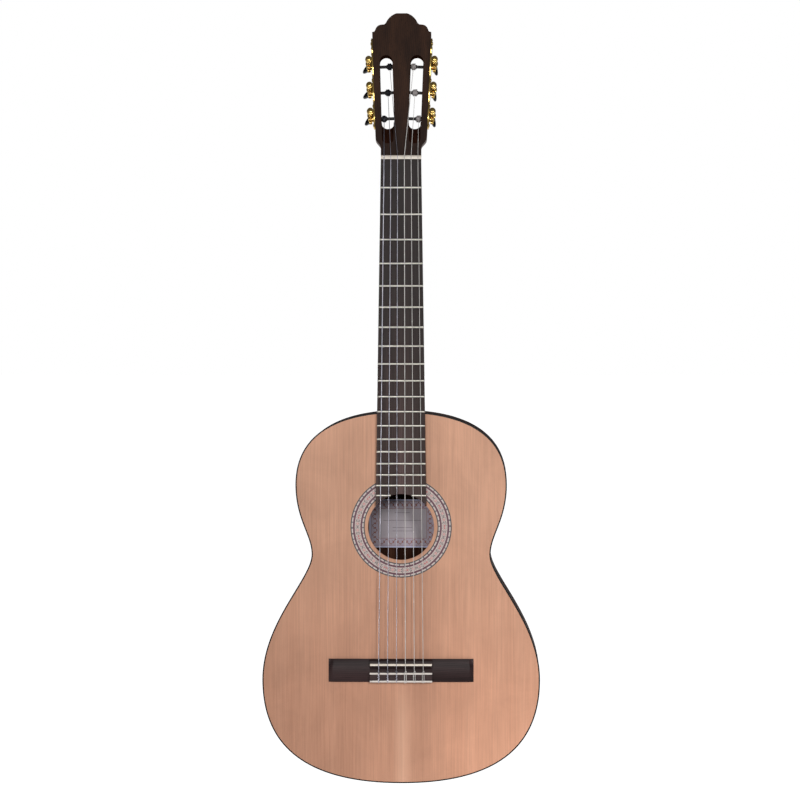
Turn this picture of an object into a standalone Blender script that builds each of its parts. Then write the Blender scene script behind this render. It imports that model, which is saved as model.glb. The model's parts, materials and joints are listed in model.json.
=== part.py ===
"""Classical guitar, upright, facing -Y. Sizes are in millimetres and become metres in solid().

X runs to the right of someone facing the guitar, Y to its back, Z to the head's tip. The origin is the
middle of the flat at the tail. "Forward" is the distance in front of the soundboard's face.
Pieces that are glued together keep GAP between them, so that each stays its own solid.
"""

import math

import bmesh
import bpy
from mathutils import Vector

MM = 0.001
GAP = 0.3

# The string length sets the frets, the neck and the bridge's place.
SCALE = 650.0
SADDLE_SETBACK = 1.5
FRETS = 19
BODY_FRET = 12
STRING_DIAMETERS = (0.71, 0.82, 1.02, 0.75, 0.90, 1.10)
NUT_SPREAD = 43.6
SADDLE_SPREAD = 57.4

# The body's outline: (half width, height) with the length of the handle before and after it.
OUTLINE = (
    ((0.0, 0.0), 0.0, 133.0),
    ((179.4, 134.0), 79.0, 74.0),
    ((115.6, 296.0), 31.0, 25.0),
    ((136.5, 386.0), 45.0, 78.5),
    ((0.0, 480.5), 60.0, 0.0),
)
OUTLINE_STEPS = 7
BODY_LENGTH = OUTLINE[-1][0][1]
FRONT_Y = -48.0
DEPTH_TAIL = 96.0
DEPTH_NECK = 92.0
BACK_ARCH = 4.0
PLATE = 2.6
RIB = 2.2
BINDING = 2.0
BINDING_DEPTH = 6.0
LINING = 5.0
LINING_DEPTH = 11.0
HEEL_TENON = 20.0
GRAFT = 12.0

HOLE_Z = 331.5
HOLE_R = 42.5
ROSETTE = (47.0, 65.4)
ROSETTE_DEPTH = 0.8
LABEL = (88.0, 63.5)

# The neck's half width and its wood's depth, at the nut and at the body.
NECK_HALF = (26.0, 30.9)
NECK_DEPTH = (15.5, 17.5)
HEEL_Z = BODY_LENGTH + 19.0
HEEL_REACH = 58.0
HEEL_HALF = 10.5
BOARD_TOP = 6.5
NUT_Z = BODY_LENGTH + SCALE * (1 - 2 ** (-BODY_FRET / 12))
NUT_THICK = 5.0
STRING_AT_NUT = 8.4
STRING_AT_SADDLE = 12.9
FRET_GAP = 0.2
TANG = 0.5
TANG_FOOT = 2.0 - BOARD_TOP

SADDLE_Z = NUT_Z - SCALE - SADDLE_SETBACK
BRIDGE_FRONT = SADDLE_Z + 7.3
BRIDGE_REAR = BRIDGE_FRONT - 30.0
BRIDGE_HALF = 93.5
SADDLE_THICK = 2.7
TIE_HALF = 40.3
TIE_FRONT = BRIDGE_REAR + 12.3
TIE_TOP = 9.0
TIE_HOLE = 5.6
INLAY_DEPTH = 1.4
INLAY_WIDE = 2.4

# The head, in its own frame: u across, v from the nut to the tip, n out of its face.
HEAD_TILT = math.radians(14)
HEAD_Z = NUT_Z + NUT_THICK + 0.5
HEAD_THICK = 17.0
VENEER = 2.0
FLARE_V = 9.0
FLARE_LOW = 26.1
HEAD_LOW = (33.5, 33.0)
HEAD_HIGH = (38.3, 165.2)
SHOULDER = ((35.0, 166.4), (32.8, 173.5), (30.4, 175.4), (22.9, 175.4))
CROWN_R = 22.0
CROWN_V = 169.6
SLOT_LOW = (17.3, 45.4)
SLOT_HIGH = (20.0, 125.3)
SLOT_R = 8.2
SLOT_SLANT = 2.0

# The machine heads, in a frame for each side: a outwards, b to the tip, c to the front.
TAPER = math.atan2(HEAD_HIGH[0] - HEAD_LOW[0], HEAD_HIGH[1] - HEAD_LOW[1])
TUNER_V = 85.0
TUNER_SPACING = 35.0
TUNER_N = (VENEER + GAP - HEAD_THICK) / 2
TUNER_U = HEAD_LOW[0] + (TUNER_V - HEAD_LOW[1]) * math.tan(TAPER)
PLATE_A = (GAP, GAP + 1.5)
SCREW_B = (-43.5, -17.5, 17.5, 67.0)
ROLLER_R = 2.8
ROLLER_END = -31.4
WINDING_R = 4.6
WINDING_WIDTH = 6.0
WINDING_U = (15.5, 17.5, 22.2)
GEAR_TEETH = 16
GEAR_PITCH_R = 5.8
THREAD_PITCH = 2 * math.pi * GEAR_PITCH_R / GEAR_TEETH
WORM_PITCH_R = 2.2
ADDENDUM = 0.7
DEDENDUM = 0.9
THREAD_REACH = 4.2
THREAD_STEPS = 6
WORM_A = 5.6
WORM_B = GEAR_PITCH_R + WORM_PITCH_R
GEAR_HALF = 2.0
JOURNAL_R = 1.6
POST_R = 4.5
POST_C = (8.0, 11.2)
BUTTON_END = 32.0
# The way each button's wide side points at rest, from straight out, towards the nut, high to low.
BUTTON_TURNS = {-1: (40.0, 34.0, 44.0), 1: (73.0, 76.0, 73.0)}

COLOURS = {
    "cedar": ((0.62, 0.36, 0.22), 0.5, 0.0),
    "mahogany": ((0.16, 0.06, 0.03), 0.4, 0.0),
    "rosewood": ((0.05, 0.03, 0.022), 0.5, 0.0),
    "spruce": ((0.75, 0.6, 0.42), 0.6, 0.0),
    "black_plastic": ((0.012, 0.012, 0.014), 0.3, 0.0),
    "bone": ((0.8, 0.75, 0.68), 0.4, 0.0),
    "gold": ((0.75, 0.52, 0.2), 0.25, 1.0),
    "nickel": ((0.7, 0.68, 0.63), 0.3, 1.0),
    "dark_steel": ((0.08, 0.08, 0.085), 0.35, 1.0),
    "nylon": ((0.75, 0.75, 0.72), 0.25, 0.0),
    "wound_silver": ((0.6, 0.6, 0.63), 0.3, 1.0),
    "paper": ((0.7, 0.66, 0.62), 0.8, 0.0),
    "marquetry": ((0.7, 0.6, 0.52), 0.5, 0.0),
}


# --- making solids ---------------------------------------------------------------------------


def clear_scene():
    for obj in list(bpy.data.objects):
        bpy.data.objects.remove(obj)


def material(name):
    made = bpy.data.materials.get(name)
    if made is None:
        colour, roughness, metallic = COLOURS[name]
        made = bpy.data.materials.new(name)
        made.use_nodes = True
        shader = made.node_tree.nodes["Principled BSDF"]
        shader.inputs["Base Color"].default_value = (*colour, 1.0)
        shader.inputs["Roughness"].default_value = roughness
        shader.inputs["Metallic"].default_value = metallic
    return made


def solid(name, shape, finish="mahogany", pivot=(0.0, 0.0, 0.0)):
    """An object from (points, faces) in millimetres, with its origin at pivot."""
    points, faces = shape
    origin = Vector(pivot)
    mesh = bpy.data.meshes.new(name)
    mesh.from_pydata([(Vector(p) - origin) * MM for p in points], [], faces)
    work = bmesh.new()
    work.from_mesh(mesh)
    bmesh.ops.remove_doubles(work, verts=work.verts, dist=1e-7)
    bmesh.ops.recalc_face_normals(work, faces=work.faces)
    work.to_mesh(mesh)
    work.free()
    mesh.shade_smooth()
    mesh.set_sharp_from_angle(angle=math.radians(30))
    obj = bpy.data.objects.new(name, mesh)
    obj.location = origin * MM
    bpy.context.scene.collection.objects.link(obj)
    mesh.materials.append(material(finish))
    return obj


def combine(obj, shape, operation):
    """Joins a shape to the object, or cuts it out of it, for good."""
    tool = solid("tool", shape)
    modifier = obj.modifiers.new(operation, "BOOLEAN")
    modifier.object = tool
    modifier.operation = operation
    modifier.solver = "EXACT"
    graph = bpy.context.evaluated_depsgraph_get()
    made = bpy.data.meshes.new_from_object(obj.evaluated_get(graph))
    made.materials.clear()
    made.materials.append(obj.data.materials[0])
    obj.modifiers.clear()
    obj.data = made
    bpy.data.objects.remove(tool)


def cut(obj, shape):
    combine(obj, shape, "DIFFERENCE")


def join(obj, shape):
    combine(obj, shape, "UNION")


def loft(rings):
    """A closed skin over rings of the same number of points, capped at both ends."""
    count = len(rings[0])
    points = [p for ring in rings for p in ring]
    faces = [list(range(count)), [len(points) - 1 - i for i in range(count)]]
    for r in range(len(rings) - 1):
        for i in range(count):
            j = (i + 1) % count
            faces.append([r * count + i, r * count + j, (r + 1) * count + j, (r + 1) * count + i])
    return points, faces


def prism(profile, place):
    """The profile, a list of flat points, between place(point, 0) and place(point, 1)."""
    return loft([[place(p, end) for p in profile] for end in (0, 1)])


def collar(outer, inner, place):
    """A closed band between two loops of the same number of points."""
    count = len(outer)
    loops = [[place(p, e) for p in loop] for loop, e in ((outer, 0), (outer, 1), (inner, 1), (inner, 0))]
    points = [p for loop in loops for p in loop]
    faces = []
    for r in range(4):
        for i in range(count):
            j = (i + 1) % count
            s = (r + 1) % 4
            faces.append([r * count + i, r * count + j, s * count + j, s * count + i])
    return points, faces


def box(low, high):
    corners = [(low[0], low[1]), (high[0], low[1]), (high[0], high[1]), (low[0], high[1])]
    return prism(corners, lambda p, end: (p[0], p[1], (low[2], high[2])[end]))


def turned(profile, sides, place):
    """A profile of (height, radius) turned round an axis; place takes (x, y, height)."""
    turns = [2 * math.pi * i / sides for i in range(sides)]
    return loft([[place(r * math.cos(t), r * math.sin(t), h) for t in turns] for h, r in profile])


def circle(centre, radius, steps, start=0.0, stop=360.0):
    """Points on an arc; a whole circle doesn't repeat its first point."""
    last = steps if stop - start >= 360 else steps - 1
    turns = [math.radians(start + (stop - start) * i / last) for i in range(steps)]
    return [(centre[0] + radius * math.cos(t), centre[1] + radius * math.sin(t)) for t in turns]


def bezier(p0, p1, p2, p3, t):
    s = 1 - t
    parts = (s**3, 3 * s * s * t, 3 * s * t * t, t**3)
    return tuple(sum(k * p[axis] for k, p in zip(parts, (p0, p1, p2, p3))) for axis in (0, 1))


def tube(path, radius, sides=6):
    """A round string along a path of points, its rings square to the path."""
    rings = []
    spots = [Vector(p) for p in path]
    for i, spot in enumerate(spots):
        along = (spots[min(i + 1, len(spots) - 1)] - spots[max(i - 1, 0)]).normalized()
        across = Vector((1, 0, 0))
        up = along.cross(across).normalized()
        across = up.cross(along)
        turns = [2 * math.pi * k / sides for k in range(sides)]
        rings.append([spot + radius * (math.cos(t) * across + math.sin(t) * up) for t in turns])
    return loft(rings)


# --- the body --------------------------------------------------------------------------------


def outline_point(spot, inset):
    """A point of the right half's outline, spot running from 0 at the tail to 4 at the neck."""
    part = min(int(spot), len(OUTLINE) - 2)
    t = spot - part
    (start, _, after), (stop, before, _) = OUTLINE[part], OUTLINE[part + 1]
    out_of = (start[0] + after, start[1]) if part == 0 else (start[0], start[1] + after)
    into = (stop[0] + before, stop[1]) if part == len(OUTLINE) - 2 else (stop[0], stop[1] - before)
    nudge = 1e-4
    here = bezier(start, out_of, into, stop, t)
    low = bezier(start, out_of, into, stop, max(t - nudge, 0))
    high = bezier(start, out_of, into, stop, min(t + nudge, 1))
    along = Vector((high[0] - low[0], high[1] - low[1])).normalized()
    return (here[0] - inset * along[1], here[1] + inset * along[0])


def chord_point(spot, inset):
    """The same on the straight facets that every piece's outline is made of."""
    whole = min(int(spot * OUTLINE_STEPS), 4 * OUTLINE_STEPS - 1)
    low, high = (outline_point((whole + k) / OUTLINE_STEPS, inset) for k in (0, 1))
    share = spot * OUTLINE_STEPS - whole
    return tuple(a + (b - a) * share for a, b in zip(low, high))


def spot_at(half_width, low, high):
    """Where on the outline, between two spots, the half width is this."""
    rising = chord_point(high, 0)[0] > chord_point(low, 0)[0]
    for _ in range(40):
        middle = (low + high) / 2
        if (chord_point(middle, 0)[0] < half_width) == rising:
            low = middle
        else:
            high = middle
    return low


def half_outline(inset, first=0.0, last=4.0):
    whole = [i / OUTLINE_STEPS for i in range(4 * OUTLINE_STEPS + 1)]
    kept = [s for s in whole if first + 0.01 < s < last - 0.01]
    return [chord_point(s, inset) for s in [first, *kept, last]]


def mirrored(right, middle=()):
    """A closed loop from its right half and a point on the centre line that leads into it."""
    return [*middle, *right, *((-x, z) for x, z in reversed(right))]


def whole_outline(inset):
    right = half_outline(inset)
    return right + [(-x, z) for x, z in reversed(right[1:-1])]


def half_width(z, inset):
    """The body's half width at a height."""
    low, high = 0.0, 4.0
    for _ in range(40):
        middle = (low + high) / 2
        if chord_point(middle, inset)[1] < z:
            low = middle
        else:
            high = middle
    return chord_point(low, inset)[0]


def ahead(forward):
    """The Y of a place this far in front of the soundboard's face."""
    return FRONT_Y - forward


def back_edge(z):
    return FRONT_Y + DEPTH_TAIL + (DEPTH_NECK - DEPTH_TAIL) * z / BODY_LENGTH


def arch(share, z):
    """How far the back bulges, share of the half width from the middle."""
    along = 2 * z / BODY_LENGTH - 1
    return BACK_ARCH * (1 - share * share) * (1 - along**4)


def back_inside(share, z):
    return back_edge(z) + arch(share, z) - PLATE


def level(low, high):
    """Places (x, z) between two distances behind the soundboard's face."""
    return lambda p, end: (p[0], FRONT_Y + (low, high)[end], p[1])


def make_soundboard():
    board = solid("soundboard", prism(whole_outline(BINDING + GAP), level(0, PLATE)), "cedar")
    hole = circle((0, HOLE_Z), HOLE_R, 32)
    cut(board, prism(hole, level(-1, PLATE + 1)))
    inner = circle((0, HOLE_Z), ROSETTE[0] - GAP, 32)
    outer = circle((0, HOLE_Z), ROSETTE[1] + GAP, 32)
    cut(board, collar(outer, inner, level(-1, ROSETTE_DEPTH + GAP)))
    inner = circle((0, HOLE_Z), ROSETTE[0], 32)
    outer = circle((0, HOLE_Z), ROSETTE[1], 32)
    solid("rosette", collar(outer, inner, level(0, ROSETTE_DEPTH)), "marquetry")


def make_back():
    """An arched plate: rows across the body, each a chain of points on both faces."""
    shares = (-1.0, -0.5, 0.0, 0.5, 1.0)
    points, faces = [], []
    rows = half_outline(BINDING + GAP)[1:-1]
    for thick in (0.0, PLATE):
        for x, z in rows:
            points += [(x * k, back_edge(z) + arch(k, z) - thick, z) for k in shares]
    wide, face = len(shares), len(rows) * len(shares)
    for r in range(len(rows) - 1):
        for i in range(wide - 1):
            a, b = r * wide + i, (r + 1) * wide + i
            faces.append([a, a + 1, b + 1, b])
            faces.append([face + a, face + b, face + b + 1, face + a + 1])
    rim = [i for i in range(wide)] + [r * wide + wide - 1 for r in range(1, len(rows))]
    rim += [(len(rows) - 1) * wide + i for i in range(wide - 2, -1, -1)]
    rim += [r * wide for r in range(len(rows) - 2, 0, -1)]
    for a, b in zip(rim, rim[1:] + rim[:1]):
        faces.append([a, face + a, face + b, b])
    solid("back_plate", (points, faces), "mahogany")


def make_sides():
    first, last = spot_at(GRAFT / 2 + GAP, 0, 1), spot_at(HEEL_TENON / 2 + GAP, 3.5, 4)
    shape = half_outline(0, first, last) + half_outline(RIB, first, last)[::-1]

    def place(p, end):
        edge = BINDING_DEPTH + GAP
        return (p[0], (FRONT_Y + edge, back_edge(p[1]) - edge)[end], p[1])

    for name, side in (("side_left", -1), ("side_right", 1)):
        solid(name, prism([(side * x, z) for x, z in shape], place), "mahogany")
    half = GRAFT / 2
    graft = [(-half, 0), (half, 0), (half, RIB), (-half, RIB)]
    solid("end_graft", prism(graft, place), "rosewood")


def make_bindings():
    outer, inner = whole_outline(0), whole_outline(BINDING)
    solid("top_binding", collar(outer, inner, level(0, BINDING_DEPTH)), "black_plastic")

    def place(p, end):
        return (p[0], back_edge(p[1]) - (BINDING_DEPTH, 0)[end], p[1])

    solid("back_binding", collar(outer, inner, place), "black_plastic")


def inside(p, end):
    """Places (x, z) between the insides of the two plates."""
    return (p[0], (FRONT_Y + PLATE + GAP, back_edge(p[1]) - PLATE - GAP)[end], p[1])


def make_blocks():
    """The tail block, and the neck block with the mortise for the neck's tenon."""
    inset = RIB + GAP
    tail = half_outline(inset, 0, spot_at(35, 0, 1))
    tail.append((tail[-1][0], 24))
    solid("tail_block", prism(mirrored(tail[1:], [tail[0]]), inside), "mahogany")
    top = half_outline(inset, spot_at(35, 3.5, 4), 4)[::-1]
    top.append((top[-1][0], BODY_LENGTH - 48))
    block = solid("neck_block", prism(mirrored(top[1:], [top[0]]), inside), "mahogany")
    half = HEEL_TENON / 2 + GAP
    cut(block, box((-half, FRONT_Y + 7, BODY_LENGTH - 16), (half, FRONT_Y + 82, BODY_LENGTH + 9)))


def make_linings():
    """Glue strips inside the ribs' edges, from block to block."""
    first, last = spot_at(36.5, 0, 1), spot_at(36.5, 3.5, 4)
    near, far = RIB + GAP, RIB + GAP + LINING
    shape = half_outline(near, first, last) + half_outline(far, first, last)[::-1]
    top = PLATE + GAP

    def at_back(p, end):
        edge = back_edge(p[1]) - PLATE - GAP
        return (p[0], edge - (LINING_DEPTH, 0)[end], p[1])

    for name, side in (("left", -1), ("right", 1)):
        loop = [(side * x, z) for x, z in shape]
        solid("top_lining_" + name, prism(loop, level(top, top + LINING_DEPTH)), "spruce")
        solid("back_lining_" + name, prism(loop, at_back), "spruce")


def make_top_braces():
    """Two bars across the soundboard and five struts that fan out below the bridge's front."""
    top = PLATE + GAP
    clear = RIB + LINING + 3 * GAP
    for name, z in (("harmonic_bar_upper", 404.0), ("harmonic_bar_lower", 262.0)):
        half = half_width(z + 4, clear)
        shape = [(-half, top), (-half, top + 5), (25 - half, top + 14), (half - 25, top + 14)]
        shape += [(half, top + 5), (half, top)]
        solid(name, prism(shape, lambda p, end: (p[0], FRONT_Y + p[1], z + (-4, 4)[end])), "spruce")
    low, high = 38.0, 254.0
    for number in range(5):
        lean = number - 2
        rings = []
        for z, tall in ((low, 1.5), (low + 25, 5), (high - 25, 5), (high, 1.5)):
            x = lean * (38 - 16 * (z - low) / (high - low))
            shape = ((-3, 0), (3, 0), (2, tall), (-2, tall))
            rings.append([(x + dx, FRONT_Y + top + dy, z) for dx, dy in shape])
        solid(f"fan_brace_{number + 1}", loft(rings), "spruce")


def make_back_braces():
    shares = (-0.9, -0.5, 0.0, 0.5, 0.9)
    for name, z in (("upper", 415.0), ("middle", 266.0), ("lower", 125.0)):
        full = half_width(z, BINDING + GAP)
        glued = [(k * full, back_inside(k, z) - 1.5 * GAP) for k in shares]
        tall = (4, 13, 13, 13, 4)
        free = [(x, y - t) for (x, y), t in zip(glued, tall)]
        shape = glued + free[::-1]
        made = prism(shape, lambda p, end: (p[0], p[1], z + (-3.5, 3.5)[end]))
        solid("back_brace_" + name, made, "spruce")


def make_label():
    half_wide, half_tall = LABEL[0] / 2, LABEL[1] / 2
    share = half_wide / half_width(HOLE_Z + half_tall, BINDING + GAP)
    behind = back_inside(share, HOLE_Z + half_tall) - 2 * GAP
    low = (-half_wide, behind - GAP, HOLE_Z - half_tall)
    solid("label", box(low, (half_wide, behind, HOLE_Z + half_tall)), "paper")


# --- the neck and the head -------------------------------------------------------------------


def head_place(u, v, n):
    """A point of the head's own frame: u across, v to the tip, n out of its face."""
    y = FRONT_Y + v * math.sin(HEAD_TILT) - n * math.cos(HEAD_TILT)
    return (u, y, HEAD_Z + v * math.cos(HEAD_TILT) + n * math.sin(HEAD_TILT))


def head_level(low, high):
    return lambda p, end: head_place(p[0], p[1], (low, high)[end])


def head_half(v):
    """Half the head's width between the nut and the straight sides."""
    if v < FLARE_V:
        return FLARE_LOW
    if v < HEAD_LOW[1]:
        share = min((v - FLARE_V) / 13, 1)
        eased = share * share * (3 - 2 * share)
        return FLARE_LOW + 6.3 * eased + 1.1 * (v - FLARE_V) / (HEAD_LOW[1] - FLARE_V) * eased
    return HEAD_LOW[0] + (v - HEAD_LOW[1]) * math.tan(TAPER)


def head_outline(start):
    """The head from v = start up, round the three-lobed crown."""
    right = [(head_half(v), v) for v in (start, FLARE_V, 12, 14, 16, 18, 20, 22, 27) if v >= start]
    right += [HEAD_LOW, HEAD_HIGH, (HEAD_HIGH[0] - 2.3, HEAD_HIGH[1] + 0.4)]
    right += [bezier(*SHOULDER, t / 4) for t in range(5)]
    right += circle((0, CROWN_V), CROWN_R, 7, 21, 72)
    return right + [(-u, v) for u, v in reversed(right)]


def slot_shape(side):
    """A slot's cutter: round ends, a little askew, its top end slanting towards the tip behind."""
    lean = math.degrees(math.atan2(SLOT_HIGH[0] - SLOT_LOW[0], SLOT_HIGH[1] - SLOT_LOW[1]))
    loop = circle(SLOT_HIGH, SLOT_R, 7, -lean, 180 - lean)
    loop += circle(SLOT_LOW, SLOT_R, 7, 180 - lean, 360 - lean)

    def place(p, end):
        slant = SLOT_SLANT if end == 0 and p[1] > SLOT_HIGH[1] - 2 else 0
        return head_place(side * p[0], p[1] + slant, (-HEAD_THICK - 1, VENEER + 2)[end])

    return prism(loop, place)


def ramp_shape(side):
    """The sloping way for the strings from the face down into the slot."""
    wedge = [(15.0, VENEER + GAP), (15.0, VENEER + 3), (60.0, VENEER + 3), (48.0, -13.5)]
    edges = (SLOT_LOW[0] - 8, SLOT_LOW[0] + 8)
    return prism(wedge, lambda p, end: head_place(side * edges[end], p[0], p[1]))


def neck_share(z):
    """0 at the nut, 1 where the neck meets the body."""
    return (NUT_Z - z) / (NUT_Z - BODY_LENGTH)


def neck_depth(z):
    return NECK_DEPTH[0] + (NECK_DEPTH[1] - NECK_DEPTH[0]) * neck_share(z)


def neck_half(z):
    return NECK_HALF[0] + (NECK_HALF[1] - NECK_HALF[0]) * neck_share(z)


def neck_section(half, depth, heel, square):
    """The neck cut across: (x, depth) from its right edge round the back to its left edge.

    heel runs from 0, a round back, to 1, the narrow heel; square is the back's exponent."""
    steps = 6
    right = []
    for i in range(steps + 1):
        turn = math.radians(90 * i / steps)
        down = math.sin(turn) ** (2 / square)
        plain = half * math.cos(turn) ** (2 / square)
        narrow = HEEL_HALF + (half - HEEL_HALF) * (1 - down) ** 3
        right.append((max((1 - heel) * plain + heel * narrow, 1.0), down * depth))
    return right + [(-x, d) for x, d in reversed(right)]


def shaft_rings():
    """The heel's flat end, its sweep up to the shaft, the shaft, and the flare into the head."""
    heel_depth = DEPTH_NECK - 1
    stations = [(BODY_LENGTH + GAP, heel_depth, 1.0), (HEEL_Z, heel_depth, 1.0)]
    for degrees in range(15, 91, 15):
        turn = math.radians(degrees)
        z = HEEL_Z + HEEL_REACH * (1 - math.cos(turn))
        deep = neck_depth(z) + (heel_depth - neck_depth(z)) * (1 - math.sin(turn))
        stations.append((z, deep, max(0.0, 1 - (z - HEEL_Z) / 50)))
    stations += [(z, neck_depth(z), 0.0) for z in (640, 720, 790, NUT_Z)]
    rings = []
    for z, deep, heel in stations:
        section = neck_section(neck_half(z), deep, heel, 2.0)
        rings.append([(x, FRONT_Y + d, z) for x, d in section])
    for v, square in ((0, 2.1), (5, 2.5), (9, 3.0), (12, 3.6), (15, 4.5), (18, 6.0), (21, 8.0), (25, 12.0)):
        deep = NECK_DEPTH[0] + (HEAD_THICK - NECK_DEPTH[0]) * v / 25
        rings.append([head_place(x, v, -d) for x, d in neck_section(head_half(v), deep, 0.0, square)])
    return rings


def make_neck():
    """Shaft, heel, head and the tenon in the neck block as one piece of wood, and the head's veneer."""
    neck = solid("neck", loft(shaft_rings()), "mahogany")
    join(neck, prism(head_outline(22), head_level(-HEAD_THICK, 0)))
    half = HEEL_TENON / 2
    join(neck, box((-half, FRONT_Y + 8, BODY_LENGTH - 15), (half, FRONT_Y + 80, BODY_LENGTH + 8)))
    headplate = solid("headplate", prism(head_outline(0.3), head_level(GAP, GAP + VENEER)), "rosewood")
    for side in (-1, 1):
        for piece in (neck, headplate):
            cut(piece, slot_shape(side))
            cut(piece, ramp_shape(side))
        for number in range(3):
            bore = [(ROLLER_END - 0.5, ROLLER_R + 0.6), (2.0, ROLLER_R + 0.6)]
            cut(neck, turned(bore, 6, about_roller(side, number)))


def fret_z(number):
    return NUT_Z - SCALE * (1 - 2 ** (-number / 12))


def fret_spans(number, end_r):
    """The x from and to of a fret's pieces: the last fret is broken by the hollow end."""
    half = neck_half(fret_z(number)) - 0.2
    if number < FRETS:
        return [(-half, half)]
    hollow = math.sqrt(end_r**2 - (fret_z(number) - HOLE_Z) ** 2) + 0.8
    return [(-half, -hollow), (hollow, half)]


def board_shape(end_r):
    """The board seen from the front: its end follows the soundhole's edge."""
    foot = HOLE_Z
    for _ in range(20):
        foot = HOLE_Z + math.sqrt(end_r**2 - neck_half(foot) ** 2)
    start = math.degrees(math.asin((foot - HOLE_Z) / end_r))
    arc = circle((0, HOLE_Z), end_r, 17, start, 180 - start)
    return prism([(neck_half(NUT_Z), NUT_Z), *arc, (-neck_half(NUT_Z), NUT_Z)], level(-BOARD_TOP, -GAP))


def fret_shape(low, high, z):
    """A flat-topped wire on a thin tang."""
    base = -BOARD_TOP - FRET_GAP
    wire = [(1.1, base), (0.6, base - 0.95), (-0.6, base - 0.95), (-1.1, base)]
    wire += [(-TANG / 2, base), (-TANG / 2, TANG_FOOT), (TANG / 2, TANG_FOOT), (TANG / 2, base)]
    return prism(wire, lambda p, end: ((low, high)[end], FRONT_Y + p[1], z + p[0]))


def make_fingerboard():
    """The board with its slots, and the frets, whose tangs a hidden keel inside the board joins."""
    end_r = HOLE_R + GAP
    board = solid("fingerboard", board_shape(end_r), "rosewood")
    frets = None
    above, below = FRONT_Y - BOARD_TOP - 1, FRONT_Y + TANG_FOOT + 0.2
    for number in range(1, FRETS + 1):
        z = fret_z(number)
        for low, high in fret_spans(number, end_r):
            inner = 0.3 if number == FRETS else 2.0
            slot_low = low - (2.0 if low < 0 else inner)
            slot_high = high + (2.0 if high > 0 else inner)
            cut(board, box((slot_low, above, z - 0.5), (slot_high, below, z + 0.5)))
            if frets is None:
                frets = solid("frets", fret_shape(low, high, z), "nickel")
            else:
                join(frets, fret_shape(low, high, z))
    top = FRONT_Y + TANG_FOOT - 1.1
    for x, first, last in ((0.0, 1, FRETS - 1), (-20.0, FRETS - 1, FRETS), (20.0, FRETS - 1, FRETS)):
        low, high = fret_z(last), fret_z(first)
        cut(board, box((x - 0.7, top - 0.3, low - 0.2), (x + 0.7, below, high + 0.2)))
        join(frets, box((x - 0.4, top, low), (x + 0.4, FRONT_Y + TANG_FOOT - 0.1, high)))


def make_nut():
    low, top = NUT_Z + 0.2, STRING_AT_NUT + 0.3
    nut = solid("nut", box((-25.8, ahead(top), low), (25.8, ahead(GAP), low + NUT_THICK)), "bone")
    for number, diameter in enumerate(STRING_DIAMETERS):
        x, half = string_x(number, NUT_SPREAD), diameter / 2 + 0.25
        floor = ahead(STRING_AT_NUT - diameter / 2 - 0.2)
        cut(nut, box((x - half, ahead(top + 3), NUT_Z - 1), (x + half, floor, NUT_Z + NUT_THICK + 1)))


# --- the bridge and the strings --------------------------------------------------------------


def string_x(number, spread):
    """String 1 is on the right, string 6 on the left."""
    return spread * (0.5 - number / 5)


def middle_profile():
    """The bridge's middle cut along the centre line: (height, forward)."""
    rabbet = TIE_TOP - INLAY_DEPTH
    front = [(BRIDGE_FRONT, GAP), (BRIDGE_FRONT, 5.0), (BRIDGE_FRONT - 2.8, 8.5)]
    valley = [(SADDLE_Z - 3.0, 8.5), (SADDLE_Z - 4.6, 5.2), (TIE_FRONT + 0.3, 4.2), (TIE_FRONT, rabbet)]
    block = [(TIE_FRONT - INLAY_WIDE, rabbet), (TIE_FRONT - INLAY_WIDE, TIE_TOP)]
    block += [(BRIDGE_REAR + INLAY_WIDE, TIE_TOP), (BRIDGE_REAR + INLAY_WIDE, rabbet)]
    return front + valley + block + [(BRIDGE_REAR, rabbet), (BRIDGE_REAR, GAP)]


def along_bridge(half):
    """Places (height, forward) from side to side."""
    return lambda p, end: ((-half, half)[end], ahead(p[1]), p[0])


def make_bridge():
    """The middle with the saddle's slot and the tie block, the two wings, and the string holes."""
    bridge = solid("bridge", prism(middle_profile(), along_bridge(TIE_HALF)), "rosewood")
    wing = [(0.0, 0.0), (0.0, 2.0), (6.0, 3.6), (15.0, 4.3), (24.0, 3.6), (30.0, 2.0), (30.0, 0.0)]
    stations = ((TIE_HALF - 3, 1.0), (BRIDGE_HALF - 7, 1.0), (BRIDGE_HALF - 2, 0.7), (BRIDGE_HALF, 0.4))
    for side in (-1, 1):
        rings = []
        for x, share in stations:
            rings.append([(side * x, ahead(GAP + f * share), BRIDGE_FRONT - d) for d, f in wing])
        join(bridge, loft(rings))
    half = SADDLE_THICK / 2 + GAP
    wide = TIE_HALF + 1
    cut(bridge, box((-wide, ahead(20), SADDLE_Z - half), (wide, ahead(4.0), SADDLE_Z + half)))
    for number in range(6):
        x = string_x(number, SADDLE_SPREAD)
        bore = [(BRIDGE_REAR - 2, 1.1), (TIE_FRONT + 2, 1.1)]
        cut(bridge, turned(bore, 6, lambda p, q, z: (x + p, ahead(TIE_HOLE + q), z)))
    top, wide = TIE_TOP + 0.2, INLAY_WIDE - 0.2
    for low, name in ((TIE_FRONT - wide, "tie_inlay_front"), (BRIDGE_REAR, "tie_inlay_rear")):
        outer, inner = ahead(top), ahead(top - INLAY_DEPTH)
        solid(name, box((-TIE_HALF, outer, low), (TIE_HALF, inner, low + wide)), "bone")


def make_saddle():
    top, half = STRING_AT_SADDLE - 0.85, SADDLE_THICK / 2
    profile = [(-half, 4.3), (half, 4.3), (half, top - 1.2), (0.5, top), (-0.5, top), (-half, top - 1.2)]
    profile = [(SADDLE_Z + d, forward) for d, forward in profile]
    solid("saddle", prism(profile, along_bridge(TIE_HALF - 0.3)), "bone")


def roller_of(number):
    """A string's side and roller: the outer strings use the rollers nearest the nut."""
    return (1, 2 - number) if number < 3 else (-1, number - 3)


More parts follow.
